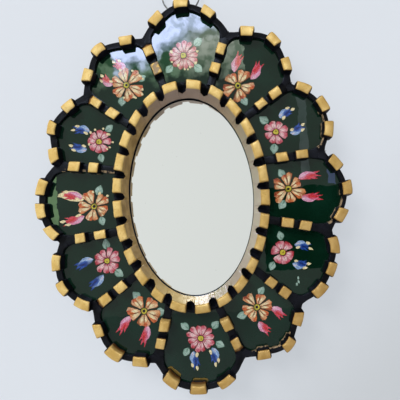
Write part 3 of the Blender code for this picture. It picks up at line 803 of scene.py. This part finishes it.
def ring_profile(block, fullness, cut):
    """Section of the ring as (offset, height, gilt, wear, wall). A notch deepens towards the mirror."""
    top = mix(NECK_TOP - cut * NOTCH_FLOOR_FALL / 2, block.top, fullness)
    inner_top = top - cut * NOTCH_FLOOR_FALL
    wall_start = BLOCK_TOP - EDGE_ROUND - mix(1 - fullness, cut, NOTCH_POINT) * RING_NOTCH_DROP
    wall_at = mix(WALL_TOP, WALL_FOOT, wall_share(wall_start))
    wall_start = min(wall_start, inner_top)
    inner_edge = WALL_TOP + EDGE_ROUND
    side, *edge = corner(RING_OUTER - RING_SLOPE, top, EDGE_ROUND, RING_EDGE_STEPS)
    crown = [(mix(edge[-1][0], inner_edge, share), mix(top, inner_top, share) + RING_BOW)
             for share in CROWN_STEPS]
    crown += [(mix(inner_edge, wall_at, math.sin(turn)), mix(inner_top, wall_start, 1 - math.cos(turn)))
              for turn in (share * math.pi / 2 for share in INNER_EDGE_STEPS)]
    on_block = ease(*GILT_FULLNESS, fullness)
    lip = [(RING_OUTER, LIP_UNDER, 0.0), (RING_OUTER, mix(LIP_UNDER, top - EDGE_ROUND, SIDE_RISE), 0.0),
           (*side, RING_SIDE_GILT * on_block), *((*point, on_block) for point in edge + crown)]
    wall = [(mix(wall_at, WALL_FOOT, share), mix(wall_start, REBATE_FLOOR, share), gilt, 0.0, 1.0)
            for share, gilt in WALL_STEPS]
    under = [(COLLAR_OUTER, REBATE_FLOOR, 0.0), (COLLAR_OUTER, SEAT, 0.0), (RING_STEP, SEAT, 0.0),
             (RING_STEP, LIP_UNDER, 0.0)]
    return [(*point, 0.0, 0.0) for point in lip] + wall + [(*point, 0.0, 0.0) for point in under]


def ring_place(angle, offset, height):
    """Point of the ring. Its wall leans aside on the way down to its foot."""
    point = ring_point(angle, offset)
    if offset <= WALL_TOP:
        point += FOOT_ASIDE * wall_share(height)
    return uneven(*point, height)


def make_ring(material):
    """Carved ring with its gilded wall."""
    hand = random.Random(RING_SEED)
    line = RingLine()
    blocks = []
    for number in range(RING_BLOCKS):
        place = (number + 0.5) / RING_BLOCKS
        quarter, share = divmod(place * (len(RING_TURNS) - 1), 1)
        turn = mix(*RING_TURNS[int(quarter):int(quarter) + 2], share)
        blocks.append(Block(hand, place * line.length + turn, RING_BLOCK_LENGTH))
    sections = []
    for block, following in zip(blocks, blocks[1:] + blocks[:1]):
        start = block.middle + block.length / 2
        end = following.middle - following.length / 2
        end += line.length if end < start else 0.0
        half_gap = (end - start) / 2
        stations = [station for station in block.stations() if station <= start]
        for station in filled(stations + [mix(start, end, share) for share in NOTCH_STEPS]):
            owner = block if station < start + half_gap else following
            cut = max(0.0, 1 - abs(station - start - half_gap) / half_gap)
            angle = line.angle_at(station)
            profile = ring_profile(owner, block.fullness(station), cut)
            sections.append([(*ring_place(angle, offset, height), *marks)
                             for offset, height, *marks in profile])
    return loft("carved_ring", sections, material, CARVED_MARKS)


# Flat pieces

BOARD_STEPS = 40  # along each petal's edge
BOARD_ROUND = 0.8
BACK_PAINT = 0.06  # share of the back that the edge's paint runs over
PANE_STEPS = 48
OVAL_STEPS = 160
PANE_BEVELS = ((0.25, 0.25), (0.25, 0.25))
MIRROR_BEVELS = ((0.4, 0.4), (0.6, 0.3))


def make_board(plan, material):
    """Scalloped board with softened edges, its opening and the mirror's rebate, and painted edges."""
    sections = []
    for petal, arc in enumerate(plan.arcs):
        start, end = (arc.meets(outer, BOARD_MARGIN) for outer, _ in plan.rim_cuts(petal, 0.0))
        for share in shares(BOARD_STEPS)[:-1]:
            distance = mix(start, end, share)
            edge = arc.point(distance, BOARD_MARGIN)
            inset = arc.point(distance, BOARD_MARGIN - BOARD_ROUND)
            angle = oval_angle(edge, RIM_OVAL)
            opening = ring_point(angle, OPENING_EDGE)
            rebate = ring_point(angle, MIRROR_EDGE + CLEARANCE)
            sections.append([
                (*edge, BOARD_BACK + BOARD_ROUND, 1.0), (*edge, BOARD_FRONT, 1.0),
                (*opening, BOARD_FRONT, 0.0), (*opening, REBATE_FLOOR, 0.0), (*rebate, REBATE_FLOOR, 0.0),
                (*rebate, BOARD_BACK, 0.0), (*edge.lerp(rebate, BACK_PAINT), BOARD_BACK, 0.1),
                (*inset, BOARD_BACK, 0.6)])
    return loft("scalloped_board", sections, material, ("edge",))


def pane_outline(plan, petal):
    """Outline of a petal's pane, set back from the strips' steps."""
    arc = plan.arcs[petal]
    ends = []
    feet = []
    for bar, offset in ((plan.bars[petal - 1], PANE_EDGE), (plan.bars[petal], -PANE_EDGE)):
        start = bar.point(0.0, offset)
        far = max(line_meets_oval(start, bar.outward, [arc.radius - PANE_EDGE] * 2, arc.centre))
        ends.append(arc.place(bar.point(far, offset)))
        foot = bar.point(bar.meets_ring(PANE_RING_EDGE, offset), offset)
        feet.append(oval_angle(foot, ring_oval(PANE_RING_EDGE)))
    turn = (feet[0] - feet[1]) % math.tau
    rim_side = [arc.point(mix(*ends, share), -PANE_EDGE) for share in shares(PANE_STEPS)]
    return rim_side + [ring_point(feet[1] + turn * share, PANE_RING_EDGE) for share in shares(PANE_STEPS)]


def make_pane(plan, petal, material):
    """Glass pane of one petal, with ground edges."""
    edge = pane_outline(plan, petal)
    middle = sum(edge, Vector((0, 0))) / len(edge)

    def outline(inset):
        return [point + (middle - point).normalized() * inset for point in edge]

    return make_plate(f"glass_pane_{petal + 1:02d}", outline, (SEAT, PANE_FRONT), PANE_BEVELS, material)


def make_mirror(material):
    """Oval mirror, at the height at which its silvering shows."""
    def outline(inset):
        return [ring_point(angle, MIRROR_EDGE - inset) for angle in full_turn(OVAL_STEPS)]

    return make_plate("silvered_mirror", outline, (MIRROR_BACK, SILVER), MIRROR_BEVELS, material)


# Painted flowers

PAINT = {name: linear(colour) for name, colour in {
    "white": (226, 194, 194), "blush": (214, 156, 164), "rose": (196, 98, 114), "red": (160, 40, 46),
    "maroon": (72, 22, 30), "peach": (220, 192, 154), "apricot": (214, 162, 116), "orange": (202, 110, 62),
    "rust": (96, 44, 26), "yellow": (196, 180, 66), "olive": (132, 122, 40), "ink": (26, 22, 22),
    "ice": (152, 178, 214), "blue": (38, 78, 162), "navy": (20, 34, 92), "cream": (228, 212, 168),
    "lilac": (214, 160, 190), "crimson": (200, 74, 98), "scarlet": (196, 52, 44), "mint": (160, 184, 174),
    "sage": (120, 152, 138), "moss": (44, 88, 64), "bronze": (66, 56, 24), "gilt": (148, 120, 58)}.items()}
STROKE_FOOT = PANE_FRONT - 0.01
STROKE_BASE = PANE_FRONT + 0.03  # height of the lowest stroke
LAYER_RISE = 0.005
STROKE_STEPS = 10
STROKE_SIDES = 6
LEAST_HALF_WIDTH = 0.04
DISC_STEPS = 7
LEAST_REACH = 0.02
WOBBLE = 0.5  # unevenness of a stroke's edges
WOBBLE_SIZE = 2.2
WOBBLE_CHANGE = 0.4  # from one stroke to the next
TINT = 0.8  # of a stroke's edges by the paints of its sides


def mix_paint(first, second, share):
    return tuple(mix(a, b, share) for a, b in zip(first, second))


def shade(names, share):
    """Colour at a share of the way along a row of paints."""
    place = share * (len(names) - 1)
    index = min(int(place), len(names) - 2)
    return mix_paint(PAINT[names[index]], PAINT[names[index + 1]], place - index)


# Half widths along a petal, a brush comma, a leaf and a blunt dab, as shares of the widest

def petal_width(share):
    return max(0.0, share ** 0.75 * (1 - share ** 9) ** 0.5) * 1.1


def comma_width(share):
    return max(0.0, min(1.0, share * 5) ** 0.5 * (1 - share) ** 0.7)


def leaf_width(share):
    return max(0.0, math.sin(math.pi * share ** 0.85)) ** 0.8


def dab_width(share):
    return min(1.0, 8 * share, 8 * (1 - share)) ** 0.5


class Painting:
    """Strokes of paint on one pane, each a thin slab over those before it.

    Places on it are (out, side), outwards and clockwise from the flower's middle.
    """

    def __init__(self, arc, out, side):
        self.bm = bmesh.new()
        self.colours = self.bm.verts.layers.float_color.new("paint")
        self.arc = arc
        self.flower = arc.centre + out * arc.outward + side * arc.clockwise
        self.layer = 0

    def at(self, out, side):
        """Point of the plan at a place."""
        return self.flower + out * self.arc.outward + side * self.arc.clockwise

    def vertex(self, point, colour):
        vertex = self.bm.verts.new(point)
        vertex[self.colours] = colour
        return vertex

    def slab(self, rows):
        """Closed thin slab over a grid of plan points with their colours."""
        high = STROKE_BASE + self.layer * LAYER_RISE
        self.layer += 1
        grid = []
        for row in rows:
            grid.append([])
            for point, colour in row:
                spot = Vector((*point / WOBBLE_SIZE, self.layer * WOBBLE_CHANGE))
                point += noise.noise_vector(spot).xy * WOBBLE
                grid[-1].append(self.vertex(stand(*point, high), (*colour, 1.0)))
        edge = grid[0] + [row[-1] for row in grid[1:]] + grid[-1][-2::-1] + [row[0] for row in grid[-2:0:-1]]
        foot = [self.vertex((vertex.co.x, -STROKE_FOOT * MM, vertex.co.z), vertex[self.colours])
                for vertex in edge]
        skin(self.bm, grid, False, False)
        skin(self.bm, [edge, foot], True, False)
        self.bm.faces.new(foot)

    def stroke(self, start, end, width, paints, shape=leaf_width, bend=0.0, sides=None, notch=0.0):
        """Brush stroke between two places, bent sideways, in a row of paints along it.

        Two more paints can tint its two sides, and a notch splits its far end.
        """
        first = self.at(*start)
        along = self.at(*end) - first
        across = clockwise_of(along).normalized()
        rows = []
        for share in shares(STROKE_STEPS):
            half = max(width / 2 * shape(share), LEAST_HALF_WIDTH)
            colour = shade(paints, share)
            rows.append([])
            for side in shares(STROKE_SIDES):
                aside = 2 * side - 1
                reach = share * (1 - notch * (1 - abs(aside)) * share ** 3)
                bow = bend * 4 * reach * (1 - reach)
                tint = PAINT[sides[aside >= 0]] if sides else colour
                rows[-1].append((first + along * reach + across * (bow + half * aside),
                                 mix_paint(colour, tint, TINT * abs(aside))))
        self.slab(rows)

    def disc(self, radius, paint, place=(0, 0)):
        """Round dab of paint."""
        middle = self.at(*place)
        rows = []
        for share in shares(DISC_STEPS):
            height, reach = around(math.pi * share, radius)
            reach = max(reach, LEAST_REACH)
            rows.append([(middle + Vector((reach * way, height)), PAINT[paint]) for way in (-1, 0, 1)])
        self.slab(rows)


PINK_SIDES = (("rose", "blush"), ("rose", "white"), ("red", "blush"))
PEACH_SIDES = (("peach", "orange"), ("orange", "peach"), ("apricot", "rust"))
PEACH_LOBES = (
    ("rust", "apricot", "peach", "apricot", "orange"), ("rust", "apricot", "orange", "orange", "red"))
PINK_HEART = 1.2  # where the petals start
PEACH_HEART = 1.6


def petals_round(hand, petals, radius, jitter, reaches):
    """Angle and reach of each petal of a flower, spread by hand."""
    turn = hand.uniform(0, math.tau)
    for n in range(petals):
        angle = turn + math.tau * (n + hand.uniform(-jitter, jitter)) / petals
        yield angle, radius * hand.uniform(*reaches)


def pink_flower(painting, hand, petals, radius):
    """Flower of single petals, dark at the heart and red at the tips, with a yellow middle."""
    stroke = painting.stroke
    width = math.tau * radius * 0.8 / petals
    for angle, reach in petals_round(hand, petals, radius, 0.12, (0.9, 1.06)):
        heart = around(angle, PINK_HEART)
        stroke(heart, around(angle, reach + 0.3), width + 0.5, ("ink", "maroon", "maroon", "red"),
               petal_width, notch=0.06)
        stroke(heart, around(angle, reach), width, ("maroon", "rose", "blush", "blush", "rose", "red"),
               petal_width, sides=hand.choice(PINK_SIDES), notch=0.08)
        for aside in (-0.22, 0.2):
            stroke(around(angle + aside * 2 / petals, radius * hand.uniform(0.3, 0.4)),
                   around(angle + aside * 3 / petals, reach * hand.uniform(0.7, 0.85)),
                   width * 0.24, ("white", "white", "blush"))
        stroke(around(angle, radius * 0.25), around(angle, radius * 0.62), 0.35, ("maroon", "red"))
    for disc in ((2.9, "maroon"), (2.2, "yellow"), (0.7, "olive", (0.4, -0.4))):
        painting.disc(*disc)


def peach_flower(painting, hand, petals, radius):
    """Flower of split petals, each with a pale and an orange lobe, and a ringed middle."""
    stroke = painting.stroke
    width = math.tau * radius * 0.84 / petals
    split = 0.23 * math.tau / petals
    for angle, reach in petals_round(hand, petals, radius, 0.08, (0.98, 1.14)):
        stroke(around(angle, PEACH_HEART), around(angle, reach * 0.9), width * 0.9, ("ink", "rust", "rust"),
               petal_width, notch=0.3)
        lobes = list(PEACH_LOBES)
        hand.shuffle(lobes)
        for way, paints in zip((-split, split), lobes):
            far = reach * hand.uniform(0.86, 1.08)
            ends = around(angle + 0.35 * way, PEACH_HEART), around(angle + 0.78 * way, far)
            stroke(*ends, width * 0.54, ("ink", "rust", "orange"), petal_width)
            stroke(*ends, width * 0.46, paints, petal_width, notch=hand.uniform(0.0, 0.14),
                   sides=hand.choice(PEACH_SIDES))
            stroke(around(angle + 0.6 * way, radius * 0.36),
                   around(angle + 0.74 * way, far * hand.uniform(0.7, 0.9)),
                   width * 0.17, ("peach", "cream", "peach"))
        stroke(around(angle, radius * 0.28), around(angle, reach * 0.85), 0.45, ("ink", "rust"))
    for disc in ((3.1, "ink"), (2.7, "olive"), (2.0, "yellow", (0.2, -0.3)), (1.2, "ink")):
        painting.disc(*disc)


FEATHER_BASE = (9.0, 7.6)  # out and beside
FEATHER_BEND = 0.9
FRINGES = ((0.3, 0.9, -4.0), (0.4, 1.1, 2.6), (0.15, 0.64, -4.0), (0.45, 1.06, -1.4))  # start, end, beside
FEATHER_DABS = ((0.1, -2.6), (0.7, 2.4), (0.9, -1.0))  # along and beside


def feather(painting, hand, way, base, tip, paints, trimmed, glint_bordered):
    """Feathered leaf: a broad body, pale outside, that ends in pointed fringes, with cream dabs, or a cream
    border as a painted glint.
    """
    stroke = painting.stroke
    pale, body, end = paints
    along = tip - base
    across = -way * clockwise_of(along).normalized()
    bend = FEATHER_BEND * way

    def place(share, beside=0.0):
        """Place along the leaf and beside it, outwards when positive."""
        return base + share * along + (4 * share * (1 - share) * FEATHER_BEND + beside) * across

    # A cream border all round the leaf, a painted glint of light
    if glint_bordered:
        stroke(place(-0.1), place(1.2), 8.6, ("cream", "cream"), bend=bend)
    for start, far, beside in FRINGES:
        far *= hand.uniform(0.94, 1.08)
        stroke(place(start), place(far, beside), 3.4, (body, body, body, end), comma_width)
    stroke(base, place(0.92), 6.4, (pale, pale, body, body, end), bend=bend, sides=(end, pale)[::way])
    stroke(place(0.05, 0.8), place(0.66, 2.2), 1.6, ("white", pale, pale))
    stroke(place(0.3, -0.8), place(0.85, -1.0), 1.0, (body, end, end))
    for share, beside in FEATHER_DABS if trimmed else ():
        there = place(share + 0.3, beside + hand.uniform(-0.8, 0.8))
        stroke(place(share, beside), there, 2.2, ("cream", "cream"))


def pale_leaf(painting, middle, length, turn):
    """Pale leaf with a green edge and heart."""
    half = around(turn, length / 2)
    ends = (middle - half, middle + half)
    painting.stroke(*ends, 0.78 * length, ("moss", "sage", "moss"))
    painting.stroke(*ends, 0.66 * length, ("sage", "mint", "mint", "sage"), sides=("mint", "sage"))
    painting.stroke(middle - half, middle + 0.5 * half, 1.0, ("moss", "sage", "mint"))


# Kinds of flowers, with the paints of their feathered leaves
KINDS = {
    "pink": (pink_flower, ("ice", "blue", "navy")), "peach": (peach_flower, ("lilac", "crimson", "scarlet"))}
# Each petal's flower: kind, place out and clockwise from the rim's centre, number of petals and radius, then
# how its feathered leaves turn anticlockwise in degrees, and how far beside and out their tips are
FLOWERS = (
    ("pink", -6.5, 0.5, 13, 12.0, 0, 0, 0), ("peach", -9.5, 0.5, 5, 12.0, 8, 9.5, 24.5),
    ("pink", -8.0, -1.0, 8, 10.0, 5, 8.5, 21), ("peach", -11.5, -1.5, 6, 12.5, 3, 9.5, 25),
    ("pink", -8.0, 2.5, 6, 10.0, 15, 7.5, 21.5), ("peach", -3.5, -1.5, 6, 12.0, 9, 9, 21.5),
    ("pink", -7.5, -1.0, 12, 11.5, 8, 8.5, 22.5), ("peach", -7.0, -0.5, 5, 13.0, 7, 11, 25),
    ("pink", -7.5, -1.0, 10, 11.0, 5, 10.5, 24.5), ("peach", -10.0, -3.0, 5, 12.0, 1, 12, 26.5),
    ("pink", -5.5, 2.0, 8, 10.0, 14, 7.5, 22.5), ("peach", -1.0, 0.0, 6, 13.0, 9, 8.5, 20.5))
# Pale leaves round each flower, in degrees clockwise from the petal's axis
LEAVES = (
    (-130, 135, 50), (125,), (-105, 125), (-110, 115), (-120, 105), (-125, 100),
    (130, -130, 50, -70), (120, -120), (115, -105), (110, -115), (105, -120), (105, -125))
LEAF_REACH = 14.0
FAR_LEAF_REACH = 16.5  # where there are more than two
LEAF_LENGTHS = (7.5, 9.0)
# Cream flecks round the flower are painted glints of light
GLINT_PETALS = (1, 10, 11, 12)  # petals with cream flecks round the flower
GLINT_FLECKS = 9
TRIMMED = (3, 5, 7, 10, 11, 12)  # petals whose feathered leaves have cream dabs
# A cream leaf border is a painted glint of light
GLINT_BORDERED = (10,)  # petals whose clockwise feathered leaf has a cream border
# Dabs of glue and spilt gold on the panes: petal, paints and sides, start, end and width
GLUE = (("sage", "mint", "sage"), None)
GOLD = (("bronze", "bronze"), ("gilt", "bronze"))
SMEARS = (
    (5, GLUE, (19.0, 13.0), (20.0, 15.5), 1.5), (5, GLUE, (20.5, 15.5), (21.5, 18.0), 1.5),
    (5, GLUE, (20.0, 18.0), (21.0, 20.5), 1.5), (7, GOLD, (22.5, 28.5), (31.0, 18.5), 5.0),
    (7, GOLD, (33.5, 8.5), (34.5, -4.5), 3.5))
PAINT_SEED = 400


def turned(out, side, degrees):
    """Place turned anticlockwise round the flower's middle."""
    return around(math.atan2(side, out) - math.radians(degrees), math.hypot(out, side))


def make_painting(plan, petal, material):
    """Flower, feathered leaves and pale leaves of one pane."""
    number = petal + 1
    hand = random.Random(PAINT_SEED + petal)
    kind, out, side, petals, radius, turn, beside, reach = FLOWERS[petal]
    flower, paints = KINDS[kind]
    painting = Painting(plan.arcs[petal], out, side)
    distance = FAR_LEAF_REACH if len(LEAVES[petal]) > 2 else LEAF_REACH
    for angle in map(math.radians, LEAVES[petal]):
        length = hand.uniform(*LEAF_LENGTHS)
        pale_leaf(painting, around(angle, distance), length, angle + hand.uniform(-0.3, 0.3))
    for way in (-1, 1) if reach else ():
        base = turned(FEATHER_BASE[0], way * FEATHER_BASE[1], turn)
        tip = turned(reach, way * beside, turn)
        feather(painting, hand, way, base, tip, paints, number in TRIMMED, way * number in GLINT_BORDERED)
    flower(painting, hand, petals, radius)
    # Painted glints: cream flecks round the flower
    for _ in range(GLINT_FLECKS if number in GLINT_PETALS else 0):
        angle = hand.uniform(0, math.tau)
        place = around(angle, radius * hand.uniform(0.85, 1.1))
        painting.stroke(place, place + Vector((hand.uniform(-2.4, 2.4), 1.6)), 1.9, ("cream", "cream"))
    for smeared, (paints, sides), start, end, width in SMEARS:
        if smeared == number:
            painting.stroke(start, end, width, paints, dab_width, sides=sides)
    return new_object(f"flower_{number:02d}", painting.bm, material, smooth=False)


# Hanger

HANGER_RADIUS = 16.5
HANGER_WIRE = 1.3
WIRE_STEPS = 128
WIRE_SIDES = 14


def make_hanging_ring(material):
    """Round wire ring, in the place of its solid."""
    low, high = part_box("hanging_ring")
    x, y, z = (low + high) / 2 / MM
    wire = [around(lift, HANGER_WIRE / 2) for lift in full_turn(WIRE_SIDES)]
    sections = []
    for turn in full_turn(WIRE_STEPS):
        points = [(*around(turn, HANGER_RADIUS + out), rise) for out, rise in wire]
        sections.append([(x + aside, z + up, rise - y) for up, aside, rise in points])
    return loft("wire_hanging_ring", sections, material)


# Stage, in metres

CAMERA_PLACE = (0.024, -0.348, -0.0208)
CAMERA_YAW = -0.0417
CAMERA_PITCH = 0.0171
CAMERA_ROLL = -0.0596
CAMERA_LENS = 36.0
CAMERA_SENSOR = 36.0
CAMERA_SHIFT = (-0.0116, 0.0357)
CAMERA_NEAR = 0.01
WALL_COLOUR = (225, 228, 234)
ROOM_DARK = (0.16, 0.155, 0.15)
ROOM_LIGHT = (0.76, 0.78, 0.76)
LIGHT_SIDE = (-0.45, -0.82, 0.1)
PATCH_DISTANCE = 3.0
WINDOW_EDGES = (-0.62, 0.095, 0.36, 0.66)  # left, right, low and high, for each metre of distance
SIDE_LIGHTS = (
    ("garden", (-0.52, -0.448, -0.06, 0.16), (146, 182, 134), 20.0),
    ("doorway", (0.234, 0.257, 0.1, 0.36), (165, 175, 178), 6.0),
    ("far_window", (0.303, 0.323, 0.078, 0.13), (140, 150, 205), 10.0),
    ("cupboard", (0.12, 0.6, -0.154, 0.072), (20, 24, 22), 1.0))
WINDOW_GLOW = 42.0
WINDOW_SILL = (1.32, 1.5)  # where the view starts and is full
FOLIAGE = 100.0  # size of the leaves in mm
SKY_LINE = (1.46, 1.66)  # where the sky starts and is full at the left
SKY_RISE = (-0.7, 0.05, 0.0, 0.25)  # from where to where, and how far, it rises to the right
LEFT_TREE = (-0.8, -0.9, 0.0, 0.5)  # where a tree starts and is full at the left, and how far it rises
TREE_REACH = 0.45
BARE_TREE = (-0.42, -0.2, 0.1, 0.8)  # where bare branches start and are full before the sky, and how dense
LIT_LEAVES = (-0.32, -0.1)  # where shaded leaves turn into sunlit ones
WALL_PAINT = (0.22, 0.225, 0.235)
WALL_PATCH = (0.20, 0.205, 0.215)
WALL_BRIGHT = (187, 192, 199)  # its own light, and that at the lower right
WALL_DULL = (160, 164, 168)
WALL_PLACE = 0.002
FLOOR_HEIGHT = -1.0
SHEET_REACH = 4.0
LAMPS = (("front_light", (-1.6, -2.4, 2.0), 1.5, 72.0), ("back_light", (0.9, 1.8, 0.9), 1.4, 14.0))


def make_camera():
    """Camera at the photograph's place, rolled as the photograph is."""
    camera = placed("camera", bpy.data.cameras.new("camera"))
    camera.data.lens = CAMERA_LENS
    camera.data.sensor_width = CAMERA_SENSOR
    camera.data.shift_x, camera.data.shift_y = CAMERA_SHIFT
    camera.data.clip_start = CAMERA_NEAR
    camera.matrix_world = Matrix.Translation(CAMERA_PLACE)
    for angle, axis in ((-CAMERA_YAW, 'Z'), (math.pi / 2 + CAMERA_PITCH, 'X'), (CAMERA_ROLL, 'Z')):
        camera.matrix_world @= Matrix.Rotation(angle, 4, axis)
    bpy.context.scene.camera = camera


def make_world():
    """Pale surroundings: plain for the camera, and a room that is brighter at the upper left for all else."""
    look = Look("pale_room", kind="worlds", place="Generated")
    facing = look.add("VectorMath", {0: look.place, 1: LIGHT_SIDE}, "Value", operation='DOT_PRODUCT')
    room = look.between(look.add("MapRange", {"Value": facing, "From Min": -1.0}), ROOM_DARK, ROOM_LIGHT)
    seen = look.blend(look.add("LightPath", output="Is Camera Ray"), room, WALL_COLOUR)
    bpy.context.scene.world = look.fill("Background", {"Color": seen})


def unseen_by(obj, *rays):
    for ray in rays:
        setattr(obj, "visible_" + ray, False)


def make_sheet(name, corners, material):
    mesh = bpy.data.meshes.new(name)
    mesh.from_pydata(corners, [], [(0, 1, 2, 3)])
    mesh.materials.append(material)
    return placed(name, mesh)


def upright_corners(left, right, low, high, y):
    return [(left, y, low), (right, y, low), (right, y, high), (left, y, high)]


def make_light_patch(name, edges, look, view, strength, hidden=0.0):
    """Upright patch of light before the wall that only glossy faces see, by its edges, clear where hidden."""
    glow = look.add("Emission", {"Color": view, "Strength": strength})
    corners = upright_corners(*(edge * PATCH_DISTANCE for edge in edges), -PATCH_DISTANCE)
    patch = make_sheet(name, corners, look.clear(hidden, glow))
    unseen_by(patch, "camera", "diffuse", "shadow")


def make_window():
    """Bright window at the upper left, with sky over leaves."""
    look = Look("window_view")
    x, _, z = look.axes()
    leaves = look.noise(FOLIAGE, 9.0)
    height = look.plus(z, look.fade(x, *SKY_RISE), -1.0)
    height = look.plus(height, look.fade(x, *LEFT_TREE), -1.0)
    height = look.plus(height, leaves, TREE_REACH)
    green = look.mottle(leaves, (92, 101, 90), (148, 153, 143), 0.4, 0.6)
    green = look.blend(look.fade(z, 1.2, 1.55, 0.7, 0.0), green, (52, 70, 52))
    shaded = look.mottle(leaves, (38, 60, 42), (82, 102, 82), 0.4, 0.6)
    green = look.blend(look.fade(x, *LIT_LEAVES), shaded, green)
    branches = look.fade(look.noise(FOLIAGE / 2, 6.0), 0.38, 0.6)
    branches = look.times(branches, look.fade(x, *BARE_TREE))
    sky = look.blend(branches, (198, 212, 250), (136, 150, 168))
    view = look.blend(look.fade(height, *SKY_LINE), green, sky)
    hidden = look.fade(look.plus(z, leaves, 0.4), *WINDOW_SILL, 1.0, 0.0)
    make_light_patch("window", WINDOW_EDGES, look, view, WINDOW_GLOW, hidden)


def make_side_lights():
    """Dimmer openings to the left and right."""
    for name, edges, colour, strength in SIDE_LIGHTS:
        look = Look(name)
        darker = tuple(0.6 * part for part in colour)
        view = look.blend(look.noise(FOLIAGE, 4.0), colour, darker)
        make_light_patch(name, edges, look, view, strength)


def make_floor():
    """Pale floor well below the mirror, of the colour of the background."""
    look = Look("floor_paint", {"Roughness": 0.9})
    colour = look.blend(look.noise(800.0, 2.0), WALL_COLOUR, (218, 221, 228))
    square = ((-1, -1), (1, -1), (1, 1), (-1, 1))
    corners = [(x * SHEET_REACH, y * SHEET_REACH, FLOOR_HEIGHT) for x, y in square]
    floor = make_sheet("floor", corners, look.finish({"Base Color": colour}))


def wall_material():
    """Pale paint with a light of its own, clear from behind."""
    look = Look("wall_paint", {"Roughness": 0.9, "Emission Strength": 1.0})
    x, _, z = look.axes()
    colour = look.between(look.noise(120.0), WALL_PAINT, WALL_PATCH)
    glow = look.mottle(look.plus(x, z, -1.0), WALL_BRIGHT, WALL_DULL, 0.1, 0.36)
    look.finish({"Base Color": colour, "Emission Color": glow})
    behind = look.add("NewGeometry", output="Backfacing")
    return look.clear(behind, look.tree.nodes["Principled BSDF"].outputs["BSDF"])


def make_wall():
    """Pale wall just behind the mirror, which only the camera sees."""
    corners = upright_corners(-SHEET_REACH, SHEET_REACH, FLOOR_HEIGHT, SHEET_REACH, WALL_PLACE)
    wall = make_sheet("wall", corners, wall_material())
    unseen_by(wall, "diffuse", "glossy", "transmission", "shadow")


def make_lamp(name, place, size, power):
    """Soft square lamp that is turned to the mirror."""
    lamp = placed(name, bpy.data.lights.new(name, 'AREA'))
    lamp.data.size = size
    lamp.data.energy = power
    lamp.location = place
    lamp.rotation_euler = (-Vector(place)).to_track_quat('-Z', 'Y').to_euler()
    unseen_by(lamp, "camera", "glossy")


# The scene

def build():
    plan = Plan()
    even = Plan(hand=0.0)
    carved = carved_material()
    glass = glass_material()
    paint = paint_material()
    cedar = wood_material("cedar", (112, 70, 44), (164, 112, 74), 5.0, stained=True)
    plywood = wood_material("plywood", (160, 128, 88), (196, 166, 124), 9.0)
    steel = metal_material("bright_steel", (120, 120, 122), (178, 178, 180), 0.28)
    brass = metal_material("dull_brass", (150, 118, 60), (190, 156, 88), 0.34)
    wire = metal_material("zinc_wire", (92, 92, 90), (138, 134, 124), 0.3)

    def add(piece, slot, *nodes, body=BODY):
        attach(piece, body)
        if nodes:
            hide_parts(*nodes)

    for petal in range(len(plan.arcs)):
        number = f"{petal + 1:02d}"
        add(make_rim(plan, petal, carved), "carved_gilt", f"petal_rim_{number}")
        add(make_divider(plan, petal, carved), "carved_gilt", f"divider_{number}")
        add(make_pane(plan, petal, glass), "painted_glass", f"petal_glass_{number}")
        add(make_painting(even, petal, paint), "painted_glass")
    add(make_ring(carved), "carved_gilt", "oval_ring")
    add(make_board(plan, cedar), "cedar", "base_board")
    add(make_mirror(mirror_material()), "mirror", "mirror_glass")
    add(make_hanging_ring(wire), "ring_wire", "hanging_ring", body=RING_BODY)

    looks = {"backing_panel": plywood, "backing_brad": steel, "hanger_nail": steel, "hanger_strap": brass}
    for name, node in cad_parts.items():
        for start, material in looks.items():
            if name.startswith(start):
                node.data.materials.clear()
                node.data.materials.append(material)

    for make in (make_camera, make_world, make_floor, make_wall, make_window, make_side_lights):
        make()
    for lamp in LAMPS:
        make_lamp(*lamp)
    bpy.context.scene.view_settings.view_transform = 'Standard'


build()
